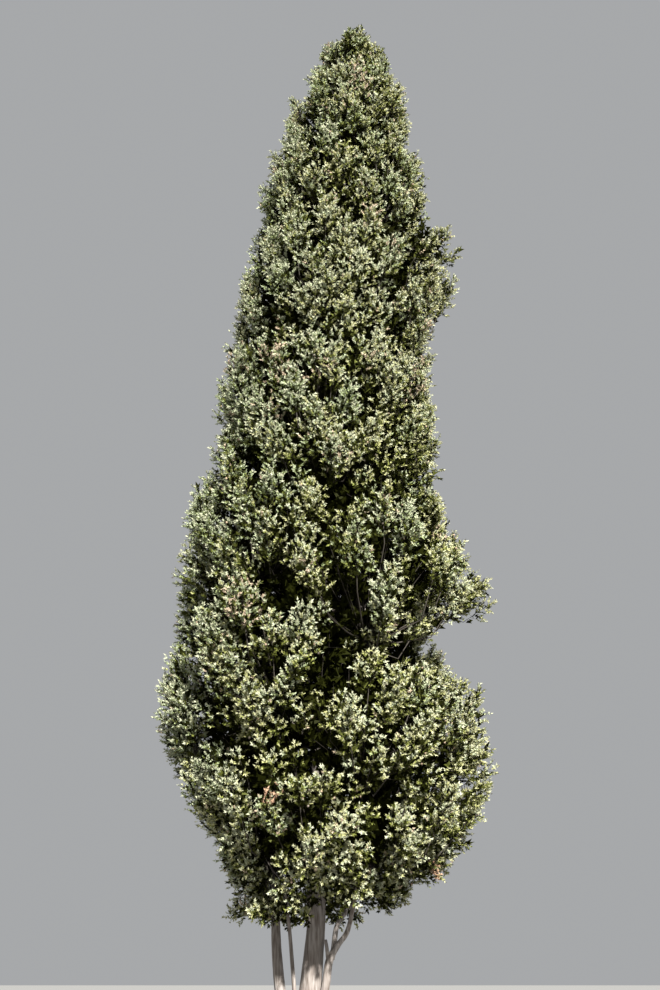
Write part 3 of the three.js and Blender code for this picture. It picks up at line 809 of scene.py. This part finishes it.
def joined(*parts):
    """Several sets of points, triangles and shades as one."""
    starts = np.cumsum([0] + [len(points) for points, _, _ in parts])
    points = np.vstack([points for points, _, _ in parts])
    triangles = np.vstack([triangles + start for (_, triangles, _), start in zip(parts, starts)])
    return points, triangles, np.concatenate([shades for _, _, shades in parts])

# %% [markdown]
# ## Bunches of cords
# A spray is a little bunch: pointed cords that stand out all round its stem, with a young one at its end.
# Each cord is one flat face that faces roughly out of the crown, so that neighbours catch the light
# differently. A rounded cord would cost many faces, and from the ground nobody could tell.

# %% Sprays to meshes
FACE_UP, FACE_STRAY = 0.2, 0.6  # how a cord's face turns up from facing out of the crown, and by chance
CORD_LENGTHS = (0.7, 1.3)  # how much a cord's length varies
# Where on its stem a cord roots, how far it leans out, its length and half the width of its foot, as shares
# of the spray. The young cords at the end come first, then the old ones, which are a shade darker, as older
# growth and as painted shade close to the stem.
YOUNG_CORDS = [(0.6, 0.0, 0.42, 0.13), (0.62, 1.1, 0.38, 0.13), (0.5, 1.2, 0.4, 0.13), (0.4, 1.3, 0.4, 0.13)]
OLD_CORDS = [(0.26, 1.4, 0.42, 0.13), (0.14, 1.5, 0.42, 0.13), (0.04, 1.5, 0.38, 0.13)]
SHADED_CORDS = [(0.6, 0.0, 0.5, 0.2), (0.16, 1.2, 0.55, 0.21), (0.34, 1.2, 0.55, 0.21), (0.56, 1.0, 0.5, 0.2)]
DARK_CORDS = [(0.6, 0.0, 0.5, 0.22), (0.2, 1.2, 0.55, 0.24), (0.36, 1.2, 0.55, 0.24), (0.55, 1.0, 0.5, 0.22)]


def bunches(foot, along, size, shade, young, old=()):
    """Points and triangles of sprays, with the shade of each triangle."""
    size = size[:, None]
    side, front = across(along)
    away = unit(foot - trunk_middle(foot[:, 2]) + UP * FACE_UP)
    turn = rng.random(foot.shape[0]) * 2 * math.pi
    points = []
    for number, (root_at, lean, length, half_foot) in enumerate((*young, *old)):
        angle = (turn + number * GOLDEN_ANGLE)[:, None]
        cord = unit(along + (side * np.cos(angle) + front * np.sin(angle)) * lean)
        base = unit(np.cross(cord, away + rng.normal(0, FACE_STRAY, foot.shape))) * size * half_foot
        root = foot + along * size * root_at
        end = root + cord * size * length * rng.uniform(*CORD_LENGTHS, size.shape)
        points += [root - base, root + base, end]
    points = np.stack(points, axis=1).reshape(-1, 3)
    triangles = np.arange(len(points)).reshape(-1, 3)
    shades = np.stack([shade] * len(young) + [DARKER[shade]] * len(old), axis=1).ravel()
    return points, triangles, shades


def bunches_of(chosen, *cords):
    return bunches(spray_foot[chosen], spray_along[chosen], spray_size[chosen], spray_shade[chosen], *cords)


spray_tier = np.array([mass["tier"] for mass in masses])[plume_owner[spray_plume]]
spray_dark = spray_shade <= shade_names.index("leaf_deep")
for tier, *_ in TIERS:
    outer = (spray_tier == tier) & ~spray_inner
    lit = bunches_of(np.flatnonzero(outer & ~spray_dark), YOUNG_CORDS, OLD_CORDS)
    shaded = bunches_of(np.flatnonzero(outer & spray_dark), SHADED_CORDS)
    points, triangles, shades = joined(lit, shaded)
    piece = mesh_piece(f"sprays_{tier}", points, triangles, "foliage", leaf_materials, shades)
    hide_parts(*[mass["name"] for mass in masses if mass["tier"] == tier])
points, triangles, shades = bunches_of(np.flatnonzero(spray_inner), DARK_CORDS)
mesh_piece("sprays_inner", points, triangles, "foliage", leaf_materials, shades)

# %% [markdown]
# ## Old sprays
# Close to its twig a plume keeps old sprays, dark with age and mostly near black with painted shade. They
# are what makes a plume solid: without them the eye looks through a bunch of bright ends. They are few and
# broad, because nobody sees their outline.

# %% Old sprays along the plumes
OLD_PER_PLUME = 5
OLD_STRAY = 0.3
OLD_SIZE = 0.14  # on a plume of the usual length
OLD_SIZES = (0.8, 1.2)
USUAL_LENGTH, OLD_GROWTH = 0.4, (0.6, 1.2)
# The old sprays' shades: mostly near-black painted shade, and the deep green of age.
OLD_PAINTED_SHADES = ("leaf_shade", "leaf_shade", "leaf_shade", "leaf_deep")

old_plume = np.repeat(np.flatnonzero(plume_kind != INNER), OLD_PER_PLUME)
old_share = np.arange(len(old_plume)) % OLD_PER_PLUME + rng.random(len(old_plume))
old_foot = part_way(plume_neck, plume_along, plume_length, old_share / (OLD_PER_PLUME + 1), old_plume)
old_along = unit(plume_along[old_plume] + rng.normal(0, OLD_STRAY, old_foot.shape))
old_size = OLD_SIZE * rng.uniform(*OLD_SIZES, len(old_plume))
old_size = old_size * np.clip(plume_length[old_plume] / USUAL_LENGTH, *OLD_GROWTH)
old_painted_shade = rng.choice([shade_names.index(name) for name in OLD_PAINTED_SHADES], len(old_plume))
points, triangles, shades = bunches(old_foot, old_along, old_size, old_painted_shade, SHADED_CORDS)
mesh_piece("sprays_old", points, triangles, "foliage", leaf_materials, shades)

# %% [markdown]
# ## Bark
# The bark of an old cypress is thin, grey to pinkish brown, and splits into long stringy strips that run up
# the trunk with a slight twist. Bump mapping alone would leave a smooth edge against the light, so the
# strips are real relief: every vertex of a fine grid round the limb is pushed in or out by ridges that are
# stretched along it.

# %% Bark relief
RIDGE_SETS = [(19, 0.55, 1.0), (43, 0.3, 0.55), (90, 0.16, 0.3)]  # ridges round it, their length, their share
ALL_SHARES = 1.85  # of the three sets together
FEWEST_RIDGES = 7
TWIST = 0.22  # how far the ridges turn round the limb, in radians for each metre up
WANDER, WANDERS_ROUND, WANDER_LENGTH = 0.35, 6, 0.5  # how far they stray, and over what distances
RIDGE_SEED, WANDER_SEED = 10, 90
NOISE_ROWS = 64


def lattice(turn, height, columns, length, seed):
    """Smooth noise from 0 to 1 that closes round a limb and is stretched along it."""
    table = np.random.default_rng(seed).random((NOISE_ROWS, columns))
    column, row = (turn / (2 * math.pi) % 1) * columns, height / length
    left, below = np.floor(column).astype(int), np.floor(row).astype(int)
    across_share, up_share = smooth_step(column - left, 0, 1), smooth_step(row - below, 0, 1)

    def between(row):
        here = table[row % NOISE_ROWS, left % columns]
        next_one = table[row % NOISE_ROWS, (left + 1) % columns]
        return here * (1 - across_share) + next_one * across_share

    return between(below) * (1 - up_share) + between(below + 1) * up_share


def relief(turn, height, thinness=1.0):
    """How far the bark stands out, from about -1 to 1."""
    total = 0.0
    for number, (ridges, length, share) in enumerate(RIDGE_SETS):
        ridges = max(FEWEST_RIDGES, round(ridges * thinness))
        wander = lattice(turn, height, WANDERS_ROUND, WANDER_LENGTH, WANDER_SEED + number) - 0.5
        noise = lattice(turn + TWIST * height + WANDER * wander, height, ridges, length, RIDGE_SEED + number)
        total = total + share * (2 * np.abs(2 * noise - 1) - 1)
    return total / ALL_SHARES


sample = relief(np.linspace(0, 2 * math.pi, 500), np.linspace(0, 3, 500))
print("bark relief from", round(float(sample.min()), 2), "to", round(float(sample.max()), 2))

# %% [markdown]
# ## Wrapping a limb
# Every limb is a grid rolled up: its left and right edges meet and are merged, and its two open ends are
# filled. A cylinder would do for a straight limb, but the rows of a grid can follow any line.

# %% Limbs from grids
MERGE_DISTANCE = 1e-5


def limb_piece(name, place, columns, rows, node):
    """Wraps a grid round a limb: place(turn, share) gives the points. Both ends are closed."""
    shape = bmesh.new()
    bmesh.ops.create_grid(shape, x_segments=columns, y_segments=rows, size=1)
    flat = np.array([vert.co for vert in shape.verts])
    turn = (flat[:, 0] + 1) * math.pi
    points = place(turn, (flat[:, 1] + 1) / 2)
    for vert, point in zip(shape.verts, points):
        vert.co = point
    bmesh.ops.remove_doubles(shape, verts=shape.verts, dist=MERGE_DISTANCE)
    rim = [edge for edge in shape.edges if edge.is_boundary]
    bmesh.ops.holes_fill(shape, edges=rim)
    bmesh.ops.recalc_face_normals(shape, faces=shape.faces)
    mesh = bpy.data.meshes.new(name)
    shape.to_mesh(mesh)
    shape.free()
    mesh.shade_smooth()
    mesh.materials.append(bark)
    piece = placed(name, mesh)
    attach(piece, "root")
    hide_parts(node)
    print(name, len(mesh.polygons), "faces")

# %% [markdown]
# ## The bark's finish
# Weathered strips are silver grey with a trace of pink, and the grooves between them keep the red brown of
# the inner bark. The colour follows noise on object coordinates, stretched up the trunk as the ridges are.
# So do the finest fibres, which are too small for the grid and stay a bump.

# %% Bark material
BARK_GLOSS = 0.25
STRIPS, PATCHES, FIBRES = (34, 6, 0.12), (2.2, 3, 0.5), (120, 4, 0.07)  # scale, detail, stretch of a noise
STRIP_COLOURS = [
    (0.3, (0.12, 0.1, 0.085)), (0.45, (0.2, 0.177, 0.16)), (0.58, (0.27, 0.247, 0.23)),
    (0.72, (0.34, 0.316, 0.3)),
]
PATCH_COLOURS = [(0.35, (0.68, 0.61, 0.57)), (0.65, (1, 1, 1))]
PATCH_STRENGTH = 0.8
BUMP_STRENGTH, BUMP_DEPTH = 0.5, 0.006
BARK_ROUGHNESS = (0.72, 0.95)

bark = bpy.data.materials.new("bark")
bark.use_nodes = True
nodes, links = bark.node_tree.nodes, bark.node_tree.links
shader = nodes["Principled BSDF"]
shader.inputs["Specular IOR Level"].default_value = BARK_GLOSS
coordinates = nodes.new("ShaderNodeTexCoord")


def stretched_noise(scale, detail, stretch):
    mapping = nodes.new("ShaderNodeMapping")
    mapping.inputs["Scale"].default_value = (1, 1, stretch)
    noise = nodes.new("ShaderNodeTexNoise")
    noise.inputs["Scale"].default_value = scale
    noise.inputs["Detail"].default_value = detail
    links.new(coordinates.outputs["Object"], mapping.inputs["Vector"])
    links.new(mapping.outputs["Vector"], noise.inputs["Vector"])
    return noise


def ramp_of(noise, stops):
    ramp = nodes.new("ShaderNodeValToRGB")
    for element, (position, colour) in zip(ramp.color_ramp.elements, (stops[0], stops[-1])):
        element.position, element.color = position, (*colour, 1)
    for position, colour in stops[1:-1]:
        ramp.color_ramp.elements.new(position).color = (*colour, 1)
    links.new(noise.outputs["Fac"], ramp.inputs["Fac"])
    return ramp


strips = ramp_of(stretched_noise(*STRIPS), STRIP_COLOURS)
patches = ramp_of(stretched_noise(*PATCHES), PATCH_COLOURS)
mixed = nodes.new("ShaderNodeMix")
mixed.data_type = "RGBA"
mixed.blend_type = "MULTIPLY"
mixed.inputs["Factor"].default_value = PATCH_STRENGTH
links.new(strips.outputs["Color"], mixed.inputs["A"])
links.new(patches.outputs["Color"], mixed.inputs["B"])
links.new(mixed.outputs["Result"], shader.inputs["Base Color"])
fibres = stretched_noise(*FIBRES)
bump = nodes.new("ShaderNodeBump")
bump.inputs["Strength"].default_value = BUMP_STRENGTH
bump.inputs["Distance"].default_value = BUMP_DEPTH
links.new(fibres.outputs["Fac"], bump.inputs["Height"])
links.new(bump.outputs["Normal"], shader.inputs["Normal"])
rough = nodes.new("ShaderNodeMapRange")
rough.inputs["To Min"].default_value = BARK_ROUGHNESS[0]
rough.inputs["To Max"].default_value = BARK_ROUGHNESS[1]
links.new(fibres.outputs["Fac"], rough.inputs["Value"])
links.new(rough.outputs["Result"], shader.inputs["Roughness"])
print("bark finish of", len(nodes), "nodes")

# %% [markdown]
# ## Trunk and stems
# The trunk keeps the solid model's lean, taper and root flare. Its rings crowd together below the crown,
# where the bark shows, and spread out inside the foliage. Rings at even distances would waste most of their
# faces in the dark.

# %% Trunk
ROOT_RIDGES = 7
ROOT_RIDGE_DEPTH = 0.13
ROOT_RIDGE_HEIGHT = 0.52
ROOT_RIDGE_TURN = 0.6
FOOT_NARROWING = 0.22  # from front to back
FOOT_HEIGHT = 1.5  # above it the trunk is round
BARE_SHARE = 0.72  # of the trunk's rings, below the crown
BARE_HEIGHT = 3.2
BARK_DEPTH = 0.05  # of the trunk's radius
SOFT_REACH, SOFT_FROM = 0.12, 0.5  # rounds a corner over this far up and down, in full from this height
SOFT_STEPS = (-1, -0.5, 0, 0.5, 1)
TRUNK_FACES = (150, 330)  # round it and up it


def softened(height, stations):
    """at(), with its corners rounded off, but true at the ground."""
    spans = SOFT_REACH * np.clip(height / SOFT_FROM, 0, 1)
    return sum(at(height + spans * step, stations) for step in SOFT_STEPS) / len(SOFT_STEPS)


def trunk_place(turn, share):
    bare = share < BARE_SHARE
    height = np.where(
        bare,
        BARE_HEIGHT * share / BARE_SHARE,
        BARE_HEIGHT + (TRUNK_TIP - BARE_HEIGHT) * (share - BARE_SHARE) / (1 - BARE_SHARE),
    )
    ridges = np.cos(ROOT_RIDGES * turn + ROOT_RIDGE_TURN)
    ridges = 1 + ROOT_RIDGE_DEPTH * np.exp(-height / ROOT_RIDGE_HEIGHT) * ridges
    radius = softened(height, TRUNK_TAPER) * ridges
    radius = radius * (1 + BARK_DEPTH * relief(turn, height))
    narrowing = 1 - FOOT_NARROWING * np.maximum(0, 1 - height / FOOT_HEIGHT)
    x = softened(height, TRUNK_LINE) + radius * np.cos(turn)
    return np.stack([x, radius * np.sin(turn) * narrowing, height], axis=-1)


limb_piece("bark_trunk", trunk_place, *TRUNK_FACES, "trunk")

# %% [markdown]
# ## Side stems
# Slimmer stems leave the same foot, and the one on the right forks. Each follows a smooth line through the
# solid model's stations, so that it bends like grown wood where straight pieces would show their corners.

# %% Side stems
LIMBS = {  # x, y, z and radius of each station
    "stem_left": [
        (-0.06, -0.01, 0.42, 0.092), (-0.165, -0.02, 0.74, 0.086), (-0.262, -0.03, 1.16, 0.08),
        (-0.33, -0.03, 1.62, 0.076), (-0.372, -0.01, 2.06, 0.069), (-0.395, 0.06, 2.5, 0.06),
        (-0.44, 0.19, 2.95, 0.048),
    ],
    "stem_thin": [
        (-0.04, -0.12, 0.78, 0.036), (-0.095, -0.15, 1.25, 0.03), (-0.138, -0.165, 1.7, 0.027),
        (-0.19, -0.21, 2.24, 0.024), (-0.27, -0.43, 2.85, 0.018),
    ],
    "stem_right": [
        (0.19, -0.06, 0.9, 0.068), (0.262, -0.085, 1.3, 0.061), (0.308, -0.1, 1.56, 0.056),
        (0.355, -0.11, 1.85, 0.052), (0.47, -0.13, 2.04, 0.038), (0.59, -0.17, 2.2, 0.033),
        (0.66, -0.27, 2.45, 0.028), (0.725, -0.43, 2.78, 0.022),
    ],
    "limb_right": [
        (0.388, -0.08, 1.86, 0.034), (0.41, -0.062, 1.99, 0.036), (0.456, -0.03, 2.286, 0.034),
        (0.6, 0.05, 2.5, 0.031), (0.69, 0.12, 2.64, 0.028), (0.805, 0.21, 2.93, 0.024),
    ],
    "stub_right": [(0.33, -0.13, 1.86, 0.024), (0.318, -0.122, 1.99, 0.025), (0.3, -0.098, 2.105, 0.02)],
}
LIMB_BARK_DEPTH = 0.08  # of the limb's radius
THIN_LEAST, THIN_GAIN = 0.3, 16  # how many of the trunk's ridges a limb has, by its radius
RELIEF_STEP = 3.7  # from one limb to the next, so that no two have the same bark
LIMB_SIDES, LIMB_RING, FEWEST_RINGS = 64, 0.016, 24


def smooth_line(stations, share):
    """Points, radii and directions on a smooth line (a Catmull-Rom curve) through the stations."""
    knots = np.array(stations)
    knots = np.vstack([2 * knots[0] - knots[1], knots, 2 * knots[-1] - knots[-2]])
    place = np.clip(share, 0, 1) * (len(stations) - 1)
    before = np.minimum(place.astype(int), len(stations) - 2)
    t = (place - before)[:, None]
    a, b, c, d = (knots[before + k] for k in range(4))
    line = 0.5 * (2 * b + (c - a) * t + (2 * a - 5 * b + 4 * c - d) * t**2 + (3 * b - a - 3 * c + d) * t**3)
    slope = 0.5 * ((c - a) + 2 * (2 * a - 5 * b + 4 * c - d) * t + 3 * (3 * b - a - 3 * c + d) * t**2)
    return line[:, :3], line[:, 3], unit(slope[:, :3])


def limb_place(stations, start):
    thinness = min(THIN_LEAST + THIN_GAIN * stations[0][3], 1)

    def place(turn, share):
        middle, radius, along = smooth_line(stations, share)
        side = unit(np.array([1.0, 0, 0]) - along * along[:, :1])
        front = np.cross(along, side)
        bumps = relief(turn, middle[:, 2] + start, thinness)
        radius = (radius * (1 + LIMB_BARK_DEPTH * bumps))[:, None]
        return middle + (side * np.cos(turn)[:, None] + front * np.sin(turn)[:, None]) * radius

    return place


for number, (node, stations) in enumerate(LIMBS.items()):
    rings = max(FEWEST_RINGS, round((stations[-1][2] - stations[0][2]) / LIMB_RING))
    limb_piece(f"bark_{node}", limb_place(stations, RELIEF_STEP * number), LIMB_SIDES, rings, node)

# %% [markdown]
# ## Twigs
# Twigs carry the sprays and fill the crown's dark inside. Each is a slim three-sided taper, closed at both
# ends, with its foot sunk in what it grows from: a bough in the trunk, a plume's twig in its bough's hub, a
# tuft's or a side twig in its plume.

# %% Twigs
TWIG_SIDES = 3
# The twigs' bark is dark brown, made darker still as painted shade of the crown's inside.
TWIG_BROWN, TWIG_ROUGHNESS = (0.028, 0.022, 0.015), 0.8
BOW = 0.05  # how far a twig's middle hangs
LARGE_LEAST, LARGE_PER_LENGTH = 0.004, 0.006  # radii
FINE_LEAST, FINE_PER_LENGTH = 0.003, 0.004
THINNING = np.array([1.6, 1.3, 1.0])
TUFT_TWIG, SIDE_TWIG = 0.006, 0.0035
SIDE_TWIG_END = 0.95  # it stops short of its last spray


def tapers(lines, radii):
    """Closed tapers along lines (n, k, 3) with radii (n, k - 1), each ending in a point."""
    n, k, _ = lines.shape
    along = unit(lines[:, -1] - lines[:, 0])
    side, front = across(along)
    rings = []
    for ring in range(k - 1):
        for corner in range(TWIG_SIDES):
            angle = 2 * math.pi * corner / TWIG_SIDES
            offset = (side * math.cos(angle) + front * math.sin(angle)) * radii[:, ring, None]
            rings.append(lines[:, ring] + offset)
    points = np.stack([*rings, lines[:, -1]], axis=1)
    per_line = points.shape[1]
    faces = [(0, 2, 1)]
    for ring in range(k - 2):
        for corner in range(TWIG_SIDES):
            a, b = ring * TWIG_SIDES + corner, ring * TWIG_SIDES + (corner + 1) % TWIG_SIDES
            faces += [(a, b, b + TWIG_SIDES), (a, b + TWIG_SIDES, a + TWIG_SIDES)]
    last = (k - 2) * TWIG_SIDES
    faces += [(last + corner, last + (corner + 1) % TWIG_SIDES, per_line - 1) for corner in range(TWIG_SIDES)]
    starts = np.arange(n)[:, None, None] * per_line
    return points.reshape(-1, 3), (np.array(faces)[None] + starts).reshape(-1, 3)


twig_bark = plain_material("twig_bark", TWIG_BROWN, TWIG_ROUGHNESS)


def bowed(start, neck, tip):
    """Lines from starts by necks to tips, which hang a little on the way to the neck."""
    return np.stack([start, (start + neck) / 2 - UP * BOW, neck, tip], axis=1)


def twig_piece(name, lines, radii):
    radii = np.broadcast_to(radii, (len(lines), lines.shape[1] - 1))
    mesh_piece(name, *tapers(lines, radii), "bark", [twig_bark])


fine_or_deep = plume_kind != TUFT
twig_piece(
    "twigs_large",
    bowed(hubs[large_owner], large_neck, large_tip),
    (LARGE_LEAST + LARGE_PER_LENGTH * large_length)[:, None] * THINNING,
)
twig_piece(
    "twigs_fine",
    bowed(hubs[plume_owner], plume_neck, plume_tip)[fine_or_deep],
    (FINE_LEAST + FINE_PER_LENGTH * plume_length[fine_or_deep])[:, None] * THINNING,
)
twig_piece("twigs_tufts", np.stack([tuft_foot, plume_tip[~fine_or_deep]], axis=1), TUFT_TWIG)
shown = np.flatnonzero(plume_kind[twig_plume] != INNER)
twig_end = part_way(twig_foot, twig_along, twig_length, SIDE_TWIG_END, shown)
twig_piece("twigs_sides", np.stack([twig_foot[shown], twig_end], axis=1), SIDE_TWIG)

# %% [markdown]
# ## Cones
# Ripe cones are round, woody and about as big as a walnut, and hang on in clusters for years. Their scales
# are blunt many-sided plates, which a low icosphere shows as it is. One is made by an operator and its
# corners are repeated in arrays, because a thousand separate objects would slow everything down.

# %% Cones
CONE_RADIUS = (0.015, 0.02)
CONE_TALLNESS = 1.12
BEARING_SHARE = 0.1  # of the plumes
CONE_SHARE = 0.28  # of a bearing plume's side twigs
CONE_AT, CONE_HANG = 0.7, 0.012  # share of its twig, and how far it hangs under it
RIPE_BROWN, OLD_GREY = (0.36, 0.27, 0.19), (0.2, 0.17, 0.14)
OLD_CONES = 0.4

shape = bmesh.new()
bmesh.ops.create_icosphere(shape, subdivisions=1, radius=1)
cone_points = np.array([vert.co for vert in shape.verts]) * (1, 1, CONE_TALLNESS)
cone_faces = np.array([[vert.index for vert in face.verts] for face in shape.faces])
shape.free()

bearing = (rng.random(len(plume_tip)) < BEARING_SHARE)[twig_plume]
bearing &= (plume_kind[twig_plume] != INNER) & (rng.random(len(twig_plume)) < CONE_SHARE)
with_cone = np.flatnonzero(bearing)
cone_middle = part_way(twig_foot, twig_along, twig_length, CONE_AT, with_cone) - UP * CONE_HANG
cone_size = rng.uniform(*CONE_RADIUS, len(with_cone))
turn = rng.random(len(with_cone)) * 2 * math.pi
cosine, sine = np.cos(turn)[:, None], np.sin(turn)[:, None]
x = cone_points[:, 0] * cosine - cone_points[:, 1] * sine
y = cone_points[:, 0] * sine + cone_points[:, 1] * cosine
z = np.broadcast_to(cone_points[:, 2], x.shape)
points = (cone_middle[:, None, :] + np.stack([x, y, z], axis=-1) * cone_size[:, None, None]).reshape(-1, 3)
triangles = (cone_faces[None] + np.arange(len(with_cone))[:, None, None] * len(cone_points)).reshape(-1, 3)
cone_materials = [
    plain_material("cone_ripe", RIPE_BROWN, LEAF_ROUGHNESS, LEAF_GLOSS),
    plain_material("cone_old", OLD_GREY, LEAF_ROUGHNESS, LEAF_GLOSS),
]
ages = np.repeat(rng.random(len(with_cone)) < OLD_CONES, len(cone_faces)).astype(int)
mesh_piece("cones", points, triangles, "foliage", cone_materials, ages)

# %% [markdown]
# ## Boughs
# A bough leaves the trunk, or takes over from the tip of a side stem, and ends in the middle of its mass.
# In the dense crown only glimpses of it are seen, so the twigs' taper serves again, with the bark on it.

# %% Boughs
CARRIED_BY = {
    "skirt_1": "stem_right", "skirt_2": "limb_right", "skirt_4": "stem_left", "skirt_5": "stem_thin",
}
BOUGH_RISE = 0.16  # how far it climbs to its hub, in steps
BOUGH_SHARE = 0.36  # its thickness, as a share of the trunk's there
BOUGH_SAG = 0.06
BOUGH_TAPER = (1, 0.9, 0.8)

bough_lines, bough_radii = [], []
for mass in masses:
    limb = LIMBS.get(CARRIED_BY.get(mass["name"]))
    if limb:
        foot, radius = np.array(limb[-1][:3]), limb[-1][3]
    else:
        foot = trunk_middle(min(mass["hub"][2] - BOUGH_RISE * mass["step"], TRUNK_TIP))
        radius = float(at(foot[2], TRUNK_TAPER)) * BOUGH_SHARE
    bough_lines.append([foot, (foot + mass["hub"]) / 2 - UP * BOUGH_SAG, mass["hub"], mass["centre"]])
    bough_radii.append([radius * share for share in BOUGH_TAPER])
mesh_piece("boughs", *tapers(np.array(bough_lines), np.array(bough_radii)), "bark", [bark])

# %% [markdown]
# ## Floor and light
# The photograph's light is a high sun from the front right. A studio does the same with one key lamp and a
# pale room that fills the shade a little. A wide soft lamp would be gentler still, but it would flatten the
# tufts, so this one is only a little softer than the sun.

# %% Floor, light and world
FLOOR_HALF = 400.0
FLOOR_GREY, FLOOR_ROUGHNESS = (0.17, 0.17, 0.165), 0.9
KEY_TOWARDS = (-0.34, 0.92, -0.82)
KEY_STRENGTH, KEY_ANGLE, KEY_COLOUR = 15.6, 0.04, (1, 0.975, 0.93)
ROOM_COLOUR, ROOM_STRENGTH = (0.86, 0.88, 0.9, 1), 0.48
EXPOSURE = -0.1

shape = bmesh.new()
bmesh.ops.create_grid(shape, x_segments=1, y_segments=1, size=FLOOR_HALF)
floor_mesh = bpy.data.meshes.new("floor")
shape.to_mesh(floor_mesh)
shape.free()
floor_mesh.materials.append(plain_material("pale_floor", FLOOR_GREY, FLOOR_ROUGHNESS))
placed("floor", floor_mesh)

key = bpy.data.lights.new("key", "SUN")
key.energy, key.angle, key.color = KEY_STRENGTH, KEY_ANGLE, KEY_COLOUR
placed("key", key).rotation_euler = Vector(KEY_TOWARDS).to_track_quat("-Z", "Y").to_euler()

world = bpy.data.worlds.new("studio")
bpy.context.scene.world = world
world.use_nodes = True
world.node_tree.nodes["Background"].inputs["Color"].default_value = ROOM_COLOUR
world.node_tree.nodes["Background"].inputs["Strength"].default_value = ROOM_STRENGTH
bpy.context.scene.view_settings.view_transform = "Standard"
bpy.context.scene.view_settings.exposure = EXPOSURE
print("key lamp of", KEY_STRENGTH, "and room of", ROOM_STRENGTH)
